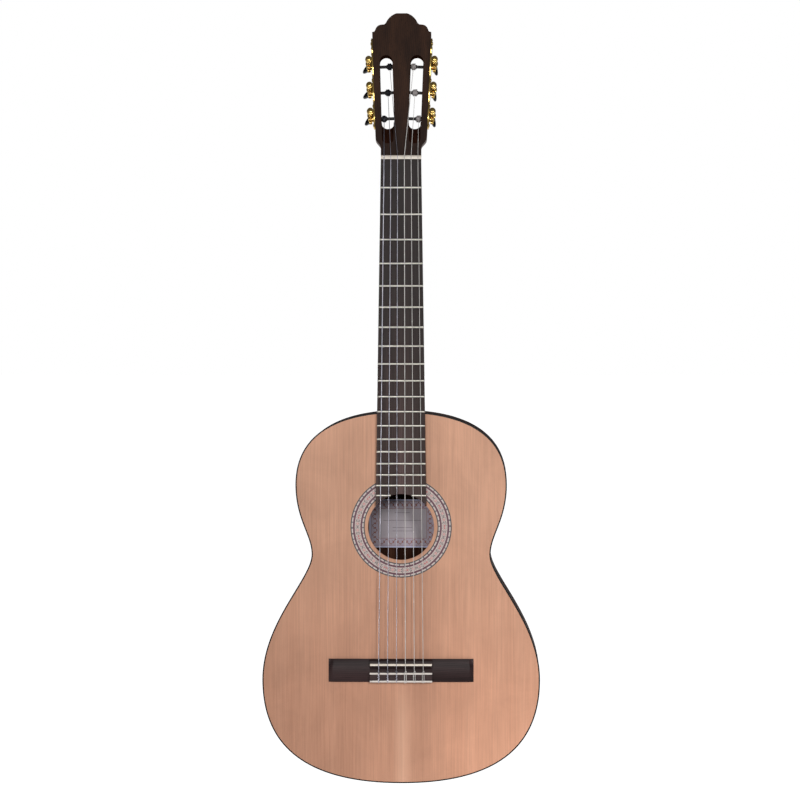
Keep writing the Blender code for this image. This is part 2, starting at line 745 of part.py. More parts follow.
def string_path(number):
    """From the winding on its roller, over the nut and the saddle, and round the tie block."""
    side, row = roller_of(number)
    radius = STRING_DIAMETERS[number] / 2
    lift = TUNER_N + WINDING_R + GAP + radius
    path = [head_place(side * WINDING_U[row], TUNER_V + row_b(row), lift)]
    at_nut, at_saddle = string_x(number, NUT_SPREAD), string_x(number, SADDLE_SPREAD)
    path += [(at_nut, ahead(STRING_AT_NUT), z) for z in (NUT_Z + NUT_THICK + 0.4, NUT_Z)]
    path += [(at_saddle, ahead(STRING_AT_SADDLE), z) for z in (SADDLE_Z + 0.4, SADDLE_Z - 0.4)]
    over = TIE_TOP + 0.6 + radius
    tie = [(0.0, TIE_HOLE, TIE_FRONT + 0.8), (0.0, TIE_HOLE, BRIDGE_REAR - 0.3)]
    tie += [(0.2, TIE_HOLE + 1.2, BRIDGE_REAR - 1.3), (0.6, over - 1, BRIDGE_REAR - 1.1)]
    tie += [(0.8, over, BRIDGE_REAR + 0.2), (1.0, over, TIE_FRONT - 0.3)]
    tie += [(1.2, over - 1.4, TIE_FRONT + 0.9)]
    return path + [(at_saddle + x, ahead(forward), z) for x, forward, z in tie]


def make_strings():
    for number, diameter in enumerate(STRING_DIAMETERS):
        finish = "nylon" if number < 3 else "wound_silver"
        solid(f"string_{number + 1}", tube(string_path(number), diameter / 2), finish)


# --- the machine heads -----------------------------------------------------------------------


def tuner_place(side):
    """Places (a, b, c): out of the head's side, towards the tip, towards the front."""

    def place(a, b, c):
        u = TUNER_U + a * math.cos(TAPER) + b * math.sin(TAPER)
        v = TUNER_V - a * math.sin(TAPER) + b * math.cos(TAPER)
        return head_place(side * u, v, TUNER_N + c)

    return place


def row_b(number):
    """Number 0 is nearest the tip."""
    return TUNER_SPACING * (1 - number)


def about_roller(side, number):
    """Places (p, q, a) round a roller's axis, a running out of the head's side."""
    place = tuner_place(side)
    return lambda p, q, a: place(a, row_b(number) + p, q)


def about_worm(side, number):
    """Places (p, q, c) round a worm's axis, c running to the front."""
    place = tuner_place(side)
    return lambda p, q, c: place(WORM_A + p, row_b(number) + WORM_B + q, c)


def label_of(side, number):
    return f"{'left' if side < 0 else 'right'}_{number + 1}"


def gear_outline(twist):
    """Straight-sided teeth round the axis, a gap between two of them pointing at the worm."""
    root, tip = GEAR_PITCH_R - DEDENDUM, GEAR_PITCH_R + ADDENDUM
    step = 2 * math.pi / GEAR_TEETH
    loop = []
    for tooth in range(GEAR_TEETH):
        middle = (tooth + 0.5) * step + twist
        for radius, half in ((root, 0.62), (tip, 0.26), (tip, -0.26), (root, -0.62)):
            turn = middle - half / radius
            loop.append((radius * math.cos(turn), radius * math.sin(turn)))
    return loop


def make_roller(side, number):
    """The post with the string's turns on it and the gear, which turn as one."""
    place = about_roller(side, number)
    wound = (WINDING_U[number] - TUNER_U) / math.cos(TAPER) - row_b(number) * math.tan(TAPER)
    low, high = wound - WINDING_WIDTH / 2, wound + WINDING_WIDTH / 2
    profile = [(ROLLER_END, ROLLER_R), (low, ROLLER_R), (low, WINDING_R), (high, WINDING_R)]
    profile += [(high, ROLLER_R), (WORM_A + GEAR_HALF + 1, ROLLER_R)]
    name = "roller_" + label_of(side, number)
    roller = solid(name, turned(profile, 8, place), "dark_steel", place(0, 0, 0))
    lead = THREAD_PITCH / (2 * math.pi * WORM_PITCH_R * GEAR_PITCH_R)
    rings = []
    for off in (-GEAR_HALF, GEAR_HALF):
        rings.append([place(p, q, WORM_A + off) for p, q in gear_outline(lead * off)])
    join(roller, loft(rings))


def thread_shape(place):
    """One ridge wound round the worm's axis, with a crest facing the gear halfway along."""
    foot, tip = WORM_PITCH_R - DEDENDUM - 0.35, WORM_PITCH_R + ADDENDUM
    turns = THREAD_REACH / THREAD_PITCH
    rings = []
    for i in range(int(2 * turns * THREAD_STEPS) + 1):
        turn = 2 * math.pi * (i / THREAD_STEPS - turns)
        middle, angle = THREAD_PITCH * turn / (2 * math.pi), turn - math.pi / 2
        ring = []
        for radius, half in ((foot, -0.62), (tip, -0.24), (tip, 0.24), (foot, 0.62)):
            ring.append(place(radius * math.cos(angle), radius * math.sin(angle), middle + half))
        rings.append(ring)
    return loft(rings)


def make_worm(side, number):
    """The shaft through both posts, its collars and thread, and the stub inside the button."""
    place = about_worm(side, number)
    root = WORM_PITCH_R - DEDENDUM
    inner, outer = POST_C[0] - GAP, POST_C[1] + GAP
    profile = [(-26.0, JOURNAL_R), (-outer - 2.2, JOURNAL_R), (-outer - 1.8, 2.9), (-outer, 2.9)]
    profile += [(-outer, JOURNAL_R), (-inner, JOURNAL_R), (-inner, 2.4), (1.3 - inner, root)]
    profile += [(inner - 1.3, root), (inner, 2.4), (inner, JOURNAL_R)]
    profile += [(outer, JOURNAL_R), (outer, 3.0), (outer + 1.7, 1.6)]
    worm = solid("worm_" + label_of(side, number), turned(profile, 6, place), "gold", place(0, 0, 0))
    join(worm, thread_shape(place))


def make_button(side, number):
    """A flat oval button, bored for the shaft."""
    place = about_worm(side, number)
    turn = -math.radians(BUTTON_TURNS[side][number])
    stations = ((15.2, 3.0, 2.8), (17.0, 3.3, 3.0), (20.0, 9.0, 3.0), (24.0, 11.2, 3.0), (29.0, 10.6, 3.0))
    rings = []
    for c, wide, thick in (*stations, (BUTTON_END, 7.4, 1.8)):
        oval = [(wide * p, thick * q) for p, q in circle((0, 0), 1, 10, 0, 324)]
        rings.append([])
        for p, q in oval:
            x, y = p * math.cos(turn) - q * math.sin(turn), p * math.sin(turn) + q * math.cos(turn)
            rings[-1].append(place(x, y, -c))
    button = solid("button_" + label_of(side, number), loft(rings), "black_plastic", place(0, 0, 0))
    cut(button, turned([(-26.3, JOURNAL_R + 0.4), (-10.0, JOURNAL_R + 0.4)], 8, place))


def plate_outline():
    """Waisted between the gears, with a lyre-shaped end towards the tip: (b, c)."""
    edge = [(-48.0, 3.0), (-46.5, 6.0), (-42.0, 8.5), (-36.0, 11.2), (-22.0, 11.2), (-17.5, 8.0)]
    edge += [(-12.0, 8.0), (-3.0, 11.2), (13.0, 11.2), (17.5, 8.0), (23.0, 8.0), (32.0, 11.2)]
    edge += [(48.0, 11.2), (51.0, 8.5)]
    edge += [(56.0, 10.5), (61.0, 10.0), (65.0, 6.5), (69.0, 5.5), (72.5, 3.5), (74.0, 1.5)]
    return edge + [(b, -c) for b, c in reversed(edge)]


def make_plate(side):
    """The base plate with six bearing posts and the heads of its four screws."""
    place = tuner_place(side)
    name = "tuner_plate_left" if side < 0 else "tuner_plate_right"
    low, high = PLATE_A
    plate = solid(name, prism(plate_outline(), lambda p, end: place((low, high)[end], p[0], p[1])), "gold")
    for number in range(3):
        worm, roller = about_worm(side, number), about_roller(side, number)
        for near, far in (POST_C, (-POST_C[1], -POST_C[0])):
            join(plate, turned([(near, POST_R), (far, POST_R)], 10, worm))
        cut(plate, turned([(-13.0, JOURNAL_R + 0.5), (13.0, JOURNAL_R + 0.5)], 8, worm))
        cut(plate, turned([(-1.0, ROLLER_R + 0.5), (4.0, ROLLER_R + 0.5)], 8, roller))
    for b in SCREW_B:
        head = [(low + 0.5, 2.5), (high + 0.4, 2.5), (high + 1.3, 1.5)]
        join(plate, turned(head, 8, lambda p, q, a: place(a, b + p, q)))


def make_tuners():
    for side in (-1, 1):
        make_plate(side)
        for number in range(3):
            make_roller(side, number)
            make_worm(side, number)
            make_button(side, number)


clear_scene()
make_soundboard()
make_back()
make_sides()
make_bindings()
make_blocks()
make_linings()
make_top_braces()
make_back_braces()
make_label()
make_neck()
make_fingerboard()
make_nut()
make_bridge()
make_saddle()
make_strings()
make_tuners()
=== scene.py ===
"""The look of a classical guitar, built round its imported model.

Shapes are made in millimetres and become metres in solid(). X runs to the right of someone facing the
guitar, Y to its back, Z to the head's tip.
"""

import json
from math import asin, atan2, ceil, copysign, cos, degrees, exp, hypot, pi, radians, sin, sqrt, tan, tau

import bmesh
import bpy
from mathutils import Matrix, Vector
from mathutils.geometry import tessellate_polygon


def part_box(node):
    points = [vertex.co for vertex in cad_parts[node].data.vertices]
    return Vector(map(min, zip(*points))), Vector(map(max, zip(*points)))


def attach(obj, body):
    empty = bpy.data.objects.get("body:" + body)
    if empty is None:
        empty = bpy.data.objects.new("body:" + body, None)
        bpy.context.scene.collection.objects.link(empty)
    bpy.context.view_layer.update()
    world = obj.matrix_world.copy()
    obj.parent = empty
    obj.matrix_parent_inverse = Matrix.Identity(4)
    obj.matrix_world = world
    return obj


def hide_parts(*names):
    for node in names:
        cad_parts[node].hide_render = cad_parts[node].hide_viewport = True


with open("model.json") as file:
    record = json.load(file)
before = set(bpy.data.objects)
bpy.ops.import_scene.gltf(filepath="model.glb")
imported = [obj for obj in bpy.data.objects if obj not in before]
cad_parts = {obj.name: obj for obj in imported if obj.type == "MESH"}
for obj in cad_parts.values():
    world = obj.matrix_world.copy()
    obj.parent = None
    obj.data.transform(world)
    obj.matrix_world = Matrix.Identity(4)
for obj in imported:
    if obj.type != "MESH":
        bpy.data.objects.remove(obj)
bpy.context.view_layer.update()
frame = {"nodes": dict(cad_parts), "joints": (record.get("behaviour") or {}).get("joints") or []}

MM = 0.001


def low(node):
    """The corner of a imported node's box with the least X, Y and Z, in millimetres."""
    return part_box(node)[0] / MM


def high(node):
    """The opposite corner."""
    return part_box(node)[1] / MM


# The body: (half width, height) with the length of the handle before and after each point.
OUTLINE = (
    ((0.0, 0.0), 0.0, 133.0),
    ((179.4, 134.0), 79.0, 74.0),
    ((115.6, 296.0), 31.0, 25.0),
    ((136.5, 386.0), 45.0, 78.5),
    ((0.0, 480.5), 60.0, 0.0),
)
OUTLINE_STEPS = 36
BODY_LENGTH = high("top_binding").z
FRONT_Y = low("soundboard").y
PLATE = high("soundboard").y - FRONT_Y
DEPTH_TAIL = 96.0
DEPTH_NECK = 92.0
BACK_ARCH = 3.97
RIB = 2.2
BINDING = 1.7
BINDING_DEPTH = 6.0
GRAFT_HALF = high("end_graft").x

HOLE_R = 42.5
ROSETTE = (47.0, high("rosette").x)
ROSETTE_DEPTH = 0.8
HOLE_Z = (low("rosette").z + high("rosette").z) / 2

NUT_Z = high("fingerboard").z
NUT_TOP = FRONT_Y - low("nut").y
BOARD_TOP = FRONT_Y - low("fingerboard").y
SCALE = (NUT_Z - BODY_LENGTH) * 2
FRETS = 19
NECK_HALF = (26.0, 30.9)
NECK_DEPTH = (15.5, 17.5)
HEEL_Z = BODY_LENGTH + 19.0
HEEL_REACH = 58.0
HEEL_HALF = 10.5
STRING_DIAMETERS = (0.71, 0.82, 1.02, 0.75, 0.90, 1.10)
NUT_SPREAD = 43.6
SADDLE_SPREAD = 57.4
STRING_AT_NUT = 8.4
STRING_AT_SADDLE = 12.85
WINDING_PITCH = 0.28

SADDLE_Z = (low("saddle").z + high("saddle").z) / 2
BRIDGE_FRONT = high("bridge").z
BRIDGE_REAR = low("bridge").z
BRIDGE_HALF = high("bridge").x
TIE_HALF = high("tie_inlay_front").x
TIE_FRONT = high("tie_inlay_front").z
TIE_TOP = 9.0
TIE_HOLE = 5.6
INLAY_WIDE = 2.4

HEAD_TILT = radians(14)
HEAD_Z = NUT_Z + 5.5
HEAD_THICK = 17.0
VENEER = 2.3
FLARE_V = 9.0
FLARE_LOW = 26.1
FLARE_LENGTH = 13.0
FLARE_REACH = 6.3
FLARE_DRIFT = 1.1
HEAD_LOW = (33.5, 33.0)
HEAD_HIGH = (38.3, 165.2)
SHOULDER = ((35.0, 166.4), (32.8, 173.5), (30.4, 175.4), (22.9, 175.4))
CROWN_R = 22.0
CROWN_V = 169.6
CROWN_TURNS = (21, 72)
CORNER_CUT = (2.3, 0.4)
SLOT_LOW = (17.3, 45.4)
SLOT_HIGH = (20.0, 125.3)
SLOT_R = 8.2
SLOT_SLANT = 2.0
NECK_END = 42

# The machine heads: distances along a, out of the head's side, b, to the tip, and c, to the front.
PLATE_A = (0.0, 1.8)
ROLLER_R = 2.8
ROLLER_END = -31.4
ROD_R = 2.0
WINDING_U = (15.5, 17.5, 22.2)
WINDING_R = 4.6
WINDING_WIDTH = 6.0
GEAR_TEETH = 16
GEAR_PITCH_R = 5.8
GEAR_HALF = 2.0
THREAD_PITCH = tau * GEAR_PITCH_R / GEAR_TEETH
THREAD_REACH = 4.2
WORM_PITCH_R = 2.2
ADDENDUM = 0.7
DEDENDUM = 0.9
WORM_A = 5.6
WORM_B = GEAR_PITCH_R + WORM_PITCH_R
JOURNAL_R = 1.6
POST_R = 4.5
POST_C = (8.0, 11.2)
SCREW_B = (-43.5, -17.5, 17.5, 67.0)
PLATE_BEADS = ((60.5, 0.0, 1.7), (52.5, 0.0, 1.9), (71.3, 0.0, 1.3), (63.6, 4.4, 1.1), (63.6, -4.4, 1.1))
BUTTON_END = 32.0
BUTTON_TURNS = {"left": (40.0, 34.0, 44.0), "right": (73.0, 76.0, 73.0)}


# --- materials -------------------------------------------------------------------------------


def tone(red, green, blue):
    """A colour as it looks on a screen, 0 to 255, made linear."""
    channels = (value / 255 for value in (red, green, blue))
    return (*(v / 12.92 if v < 0.04045 else ((v + 0.055) / 1.055) ** 2.4 for v in channels), 1.0)


def tones(*colours):
    return [tone(*colour) for colour in colours]


class Look:
    """A material and its nodes; add() returns the first output of the node that it makes."""

    def __init__(self, name, roughness=0.5, **settings):
        self.material = bpy.data.materials.new(name)
        self.material.use_nodes = True
        self.tree = self.material.node_tree
        self.shader = self.tree.nodes["Principled BSDF"]
        self.shader.inputs["Roughness"].default_value = roughness
        for socket, value in settings.items():
            self.shader.inputs[socket.replace("_", " ")].default_value = value
        self.place = self.add("TexCoord", output="Object")

    def add(self, kind, inputs=(), output=0, **settings):
        made = self.tree.nodes.new("ShaderNode" + kind)
        for name, value in settings.items():
            setattr(made, name, value)
        for socket, value in dict(inputs).items():
            if isinstance(value, bpy.types.NodeSocket):
                self.tree.links.new(value, made.inputs[socket])
            else:
                made.inputs[socket].default_value = value
        return made.outputs[output]

    def math(self, operation, first, second=0.0, third=0.0):
        return self.add("Math", {0: first, 1: second, 2: third}, operation=operation)

    def times(self, first, second):
        return self.math("MULTIPLY", first, second)

    def linear(self, value, factor, offset):
        return self.math("MULTIPLY_ADD", value, factor, offset)

    def axes(self):
        return self.add("SeparateXYZ", {0: self.place}).node.outputs

    def stretched(self, scale, place=None):
        return self.add("Mapping", {"Vector": place or self.place, "Scale": scale})

    def noise(self, scale, detail=2.0, place=None, roughness=0.5, distortion=0.0):
        inputs = {"Scale": scale, "Detail": detail, "Roughness": roughness, "Distortion": distortion}
        return self.add("TexNoise", {"Vector": place or self.place, **inputs})

    def ramp(self, factor, stops):
        made = self.add("ValToRGB", {0: factor}).node
        elements = made.color_ramp.elements
        while len(elements) < len(stops):
            elements.new(1.0)
        for element, (spot, colour) in zip(elements, stops):
            element.position = spot
            element.color = colour if hasattr(colour, "__len__") else (colour, colour, colour, 1.0)
        return made.outputs[0]

    def mix(self, factor, first, second, blend="MIX"):
        return self.add("Mix", {0: factor, 6: first, 7: second}, 2, data_type="RGBA", blend_type=blend)

    def tinted(self, colour, factor):
        return self.mix(1.0, colour, factor, "MULTIPLY")

    def link(self, value, socket):
        self.tree.links.new(value, self.shader.inputs[socket])

    def bump(self, height, distance, strength=1.0):
        made = self.add("Bump", {"Height": height, "Distance": distance, "Strength": strength})
        self.link(made, "Normal")


def wood(
    name, colours, along="Z", line=1.3, wander=1.0, matched=False,
    roughness=0.45, coat=0.0, pores=0.0, streak=0.5, gloss=0.13,
):
    """Sawn wood with growth lines and pores; the colours are dark, middle, light and the pores' own."""
    look = Look(name, roughness, Coat_Weight=coat, Coat_Roughness=0.12, Specular_IOR_Level=gloss)
    x, y, z = look.axes()
    if matched:
        x = look.math("ABSOLUTE", x)
    place = look.add("CombineXYZ", {0: x, 1: y, 2: z})

    def squeezed(share):
        return look.stretched([share if axis == along else 1.0 for axis in "XYZ"], place)

    drawn = squeezed(0.03)
    bend = look.math("SUBTRACT", look.noise(9.0, 2.0, squeezed(0.35)), 0.5)
    across = look.math("ADD", z if along == "X" else x, look.times(bend, 0.012 * wander))
    if along == "Z":
        across = look.math("ADD", across, look.times(y, 0.35))
    lines = look.math("SINE", look.times(across, tau / (line * MM)))
    late = look.math("POWER", look.linear(lines, 0.5, 0.5), 2.5)
    late = look.times(late, look.noise(45.0, 2.0, drawn))
    broad = look.math("SUBTRACT", look.noise(60.0, 5.0, drawn, 0.62), 0.5)
    cloud = look.math("SUBTRACT", look.noise(7.0, 3.0, squeezed(0.25)), 0.5)
    amount = look.math("ADD", look.linear(broad, streak * 2, 0.5), look.times(cloud, streak * 1.4))
    amount = look.math("SUBTRACT", amount, look.times(late, 0.35))
    colour = look.ramp(amount, ((0.15, colours[0]), (0.5, colours[1]), (0.85, colours[2])))
    fine = look.noise(900.0, 2.0, drawn)
    height = late
    if pores:
        height = look.ramp(fine, ((0.30, 0.0), (0.42, 1.0)))
        colour = look.mix(look.times(look.math("SUBTRACT", 1.0, height), pores), colour, colours[3])
    look.bump(height, 0.00006, 0.5)
    look.link(look.linear(fine, 0.16, roughness - 0.08), "Roughness")
    return look, colour, (x, y, z)


def finished(look, colour):
    look.link(colour, "Base Color")
    return look.material


def plain_wood(*args, **settings):
    look, colour, _ = wood(*args, **settings)
    return finished(look, colour)


def cedar():
    """The soundboard: fine growth lines, soft mottling, and a paler strip from the bridge to the tail, with
    painted light that makes its right side and its upper part lighter.
    """
    colours = tones((177, 131, 107), (196, 149, 123), (212, 168, 143))
    look, colour, (off_seam, _, _) = wood(
        "cedar_satin", colours, line=1.4, matched=True, roughness=0.55, streak=0.15
    )
    x, _, z = look.axes()
    hair = look.noise(520.0, 3.0, look.stretched((1.0, 1.0, 0.02)))
    colour = look.tinted(colour, look.ramp(hair, ((0.3, 0.89), (0.7, 1.07))))
    mottle = look.noise(17.0, 4.0, look.stretched((1.0, 1.0, 0.7)), 0.6, 0.6)
    colour = look.tinted(colour, look.ramp(mottle, ((0.3, 0.91), (0.7, 1.09))))
    # Painted light: the left half darker than the right, with a darker band just right of the centre strip.
    painted_side_light = ((0.5, 0.95), (0.58, 0.85), (0.63, 0.87), (0.75, 1.04))
    colour = look.tinted(colour, look.ramp(look.linear(x, 4.0, 0.5), painted_side_light))
    # Painted light: the right side lighter, the more so towards the tail.
    painted_side_tilt = look.times(x, look.math("SUBTRACT", 0.45, z))
    colour = look.tinted(colour, look.linear(painted_side_tilt, 3.0, 1.0))
    # Painted light: lighter towards the top.
    colour = look.tinted(colour, look.linear(z, 0.5, 0.9))
    redder = look.ramp(z, ((0.12, (1.02, 0.95, 0.92, 1.0)), (0.34, 1.0)))
    colour = look.tinted(colour, redder)
    edge = look.noise(160.0, 2.0, look.stretched((1.0, 1.0, 0.02)))
    off_strip = look.math("ABSOLUTE", look.math("SUBTRACT", x, 0.0025))
    off_strip = look.math("ADD", off_strip, look.times(edge, 0.006))
    inside = look.ramp(look.times(off_strip, 50.0), ((0.2, 1.0), (0.8, 0.0)))
    below = look.ramp(look.linear(z, -5.0, 1.0), ((0.2, 0.0), (0.6, 1.0)))
    colour = look.mix(look.times(look.times(inside, below), 0.5), colour, tone(212, 168, 142))
    seam = look.ramp(look.times(off_seam, 800.0), ((0.2, 0.9), (0.6, 1.0)))
    return finished(look, look.tinted(colour, seam))


def board_wood():
    """The fingerboard, with a painted sheen that makes it paler towards the body."""
    look, colour, (_, _, z) = wood(
        "rosewood_board", EBONY_TONES, line=2.2, wander=2.0, roughness=0.46, pores=0.6, streak=1.0
    )
    # Painted sheen: the board grows paler towards the body.
    painted_sheen = look.ramp(look.linear(z, -2.0, 1.8), ((0.2, 0.8), (0.6, 1.25), (0.95, 2.4)))
    return finished(look, look.tinted(colour, painted_sheen))


def back_wood():
    """The back's two matched halves, with the dark line of the joint between them."""
    look, colour, (off_seam, _, _) = wood(
        "mahogany_back", BACK_TONES, line=4.0, wander=3.0, matched=True,
        roughness=0.4, coat=0.15, pores=0.5, streak=0.8,
    )
    seam = look.ramp(look.times(off_seam, 500.0), ((0.4, 0.1), (0.55, 1.0)))
    return finished(look, look.tinted(colour, seam))


def metal(name, colour, dull, roughness, spots):
    """Plated or polished metal with a little tarnish and wear."""
    look = Look(name, roughness, Metallic=1.0)
    cloud = look.noise(420.0, 4.0)
    fine = look.noise(2600.0, 3.0)
    stain = look.ramp(cloud, ((0.35, 0.0), (0.7, 1.0)))
    look.link(look.mix(look.times(stain, spots), tone(*colour), tone(*dull)), "Base Color")
    rough = look.linear(cloud, 0.22, roughness - 0.1)
    look.link(look.math("ADD", rough, look.times(fine, 0.06)), "Roughness")
    look.bump(fine, 0.00002, 0.35)
    return look.material


def wound_metal(name, dark, light, gap):
    """Wire wound closely round the three bass strings, with a painted dark reflection that makes it black
    near the rollers.
    """
    look = Look(name, 0.3, Specular_IOR_Level=0.1)
    _, _, z = look.axes()
    wave = look.math("SINE", look.times(z, tau / (WINDING_PITCH * MM)))
    groove = look.linear(wave, 0.5, 0.5)
    bright = look.mix(look.noise(90.0, 3.0), tone(*dark), tone(*light))
    # Painted dark reflection: black and not metallic high up, over the slots near the rollers.
    painted_dark = look.ramp(look.linear(z, 10.0, -8.2), ((0.3, 0.0), (0.42, 1.0)))
    look.link(look.math("SUBTRACT", 1.0, painted_dark), "Metallic")
    bright = look.mix(painted_dark, bright, PAINTED_DARK_REFLECTION)
    look.link(look.mix(look.times(groove, 0.35), bright, tone(*gap)), "Base Color")
    look.bump(groove, 0.00005, 0.6)
    return look.material


def smooth_look(name, dark, light, roughness, scale=140.0, grain=0.00003, painted_shading=0.0, **settings):
    """Bone, plastic, nylon or paper: two close colours in soft clouds over a fine grain.

    The setting after grain makes it lighter for each metre to the right: painted shade over its left side."""
    look = Look(name, roughness, **settings)
    cloud = look.noise(scale, 4.0)
    fine = look.noise(3500.0, 2.0)
    colour = look.mix(look.ramp(cloud, ((0.3, 0.0), (0.7, 1.0))), tone(*dark), tone(*light))
    # Painted shade: darker towards the left.
    if painted_shading:
        colour = look.tinted(colour, look.linear(look.axes()[0], painted_shading, 0.9))
    look.link(colour, "Base Color")
    look.link(look.linear(cloud, 0.14, roughness - 0.07), "Roughness")
    look.bump(fine, grain, 0.3)
    return look.material


def chip(name, dark, light):
    """A dyed slip of veneer in the mosaic."""
    look = Look("veneer_" + name, 0.45)
    fibre = look.noise(1400.0, 3.0, look.stretched((1.0, 1.0, 0.2)))
    look.link(look.mix(look.ramp(fibre, ((0.25, 0.0), (0.75, 1.0))), tone(*dark), tone(*light)), "Base Color")
    look.bump(fibre, 0.00002, 0.3)
    return look.material


BACK_TONES = tones((34, 14, 9), (60, 26, 16), (84, 39, 24), (22, 9, 7))
INSIDE_TONES = tones((30, 17, 12), (52, 32, 24), (74, 48, 36), (19, 11, 8))
EBONY_TONES = tones((30, 20, 18), (46, 34, 32), (66, 51, 50), (18, 12, 11))
HEAD_TONES = tones((34, 19, 12), (50, 30, 19), (64, 40, 26), (24, 14, 10))
BRIDGE_TONES = tones((36, 25, 25), (54, 39, 39), (72, 55, 53), (22, 15, 15))
NECK_TONES = tones((62, 27, 14), (96, 46, 25), (128, 66, 36), (38, 17, 10))
RIB_TONES = tones((38, 18, 13), (62, 32, 23), (86, 46, 32), (24, 11, 9))
# About half as bright as the neck's wood: painted shade on the cut walls of the slots, ramps and bores.
SLOT_PAINTED_SHADE_TONES = tones((30, 14, 9), (46, 24, 15), (60, 34, 22), (20, 9, 6))
SPRUCE_TONES = tones((168, 130, 92), (200, 164, 122), (218, 186, 146))

CEDAR = cedar()
BACK_WOOD = back_wood()
BOARD_WOOD = board_wood()
RIB_WOOD = plain_wood("mahogany_ribs", RIB_TONES, "Y", 4.0, 3.0, roughness=0.55, pores=0.5, streak=0.8)
NECK_WOOD = plain_wood("mahogany_neck", NECK_TONES, "Z", 5.0, 2.0, False, 0.46, 0.03, 0.5, 0.6)
SLOT_PAINTED_SHADE_WOOD = plain_wood("mahogany_slots", SLOT_PAINTED_SHADE_TONES, "Z", 5.0, 2.0, roughness=0.7, pores=0.5, gloss=0.0)
HEAD_WOOD = plain_wood("rosewood_veneer", HEAD_TONES, "Z", 2.6, 2.0, roughness=0.5, pores=0.5, streak=0.8)
BRIDGE_WOOD = plain_wood(
    "rosewood_bridge", BRIDGE_TONES, "X", 2.4, 2.0, roughness=0.46, pores=0.6, streak=0.9
)
BARE_WOOD = plain_wood(
    "mahogany_inside", INSIDE_TONES, "Z", 4.0, 3.0, roughness=0.7, pores=0.5, streak=0.8, gloss=0.0
)
SPRUCE = plain_wood("spruce_bare", SPRUCE_TONES, line=1.6, roughness=0.65, streak=0.4)
BLOCK_WOOD = plain_wood("mahogany_block", NECK_TONES, line=4.0, roughness=0.6, pores=0.5)
GOLD = metal("gold_plate", (212, 180, 108), (140, 112, 54), 0.22, 0.7)
NICKEL = metal("nickel_silver", (206, 202, 192), (168, 162, 150), 0.28, 0.6)
STEEL = metal("dark_steel_plate", (52, 50, 50), (28, 27, 28), 0.36, 0.7)
# The colour of the painted dark reflection on the bass strings near the rollers.
PAINTED_DARK_REFLECTION = (0.012, 0.012, 0.015, 1.0)
SILVER = wound_metal("silver_winding", (172, 170, 184), (216, 214, 224), (104, 102, 114))
# A darker copy of the winding for the turns on the rollers: painted shade in the slots.
PAINTED_SHADE_WINDING = wound_metal("winding_painted_shade", (54, 54, 58), (88, 88, 94), (34, 34, 38))
NYLON = smooth_look("nylon_clear", (206, 200, 196), (228, 224, 220), 0.25, Transmission_Weight=0.25)
# A grey copy of the nylon for the turns on the rollers: painted shade in the slots.
NYLON_PAINTED_SHADE = smooth_look("nylon_turns_painted_shade", (140, 133, 132), (164, 157, 156), 0.3)
BONE = smooth_look("bone_polished", (216, 204, 188), (234, 224, 211), 0.34)
STRIP = smooth_look("bone_strip", (200, 190, 182), (216, 206, 198), 0.4)
BLACK = smooth_look(
    "black_polished", (10, 10, 11), (19, 18, 20), 0.4, grain=0.00001, Specular_IOR_Level=0.1
)
LACQUER = smooth_look("black_binding", (12, 11, 12), (24, 22, 22), 0.4, Specular_IOR_Level=0.12)
CHIPS = {
    ".": chip("cream", (184, 165, 157), (200, 181, 173)),
    "k": chip("black", (36, 32, 34), (54, 48, 50)),
    "g": chip("grey", (84, 75, 79), (106, 96, 100)),
    "r": chip("red", (150, 52, 60), (172, 70, 74)),
    "p": chip("pink", (196, 144, 138), (210, 162, 154)),
    "m": chip("maroon", (70, 10, 36), (90, 24, 50)),
    "w": chip("white", (180, 165, 158), (198, 184, 178)),
}
PRINTS = (
    ("paper_margin", (190, 189, 214), (203, 201, 225)),
    ("paper_field", (182, 172, 178), (194, 184, 190)),
    ("paper_band", (178, 165, 178), (190, 178, 190)),
    ("ink_brown", (140, 84, 70), (158, 100, 84)),
    ("ink_grey", (106, 98, 102), (120, 112, 116)),
)
# The label's paper and inks carry painted shade, darker towards the left.
PAPER = {name: smooth_look(name, dark, light, 0.8, 60.0, painted_shading=9.0) for name, dark, light in PRINTS}


# --- making meshes ---------------------------------------------------------------------------


def merge(*shapes):
    """Several (points, faces) as one."""
    points, faces = [], []
    for more, their_faces in shapes:
        start = len(points)
        points += more
        faces += [[start + i for i in face] for face in their_faces]
    return points, faces


def solid(name, shape, looks, marks=None, sharp=32.0):
    """An object from (points, faces) in millimetres; marks says which of the looks each face has."""
    points, faces = shape
    mesh = bpy.data.meshes.new(name)
    mesh.from_pydata([Vector(p) * MM for p in points], [], faces)
    if marks:
        mesh.polygons.foreach_set("material_index", marks)
    work = bmesh.new()
    work.from_mesh(mesh)
    bmesh.ops.remove_doubles(work, verts=work.verts, dist=1e-7)
    bmesh.ops.recalc_face_normals(work, faces=work.faces)
    work.to_mesh(mesh)
    work.free()
    for look in looks:
        mesh.materials.append(look)
    mesh.shade_smooth()
    mesh.set_sharp_from_angle(angle=radians(sharp))
    obj = bpy.data.objects.new(name, mesh)
    bpy.context.scene.collection.objects.link(obj)
    return obj


def combine(obj, shape, operation, sharp=32.0, look=0):
    """Joins a shape to the object, or cuts it out of it, for good; look is the new faces' material."""
    tool = solid("tool", shape, obj.data.materials, [look] * len(shape[1]))
    modifier = obj.modifiers.new(operation, "BOOLEAN")
    modifier.object = tool
    modifier.operation = operation
    modifier.solver = "EXACT"
    graph = bpy.context.evaluated_depsgraph_get()
    made = bpy.data.meshes.new_from_object(obj.evaluated_get(graph))
    obj.modifiers.clear()
    obj.data = made
    bpy.data.objects.remove(tool)
    made.shade_smooth()
    made.set_sharp_from_angle(angle=radians(sharp))


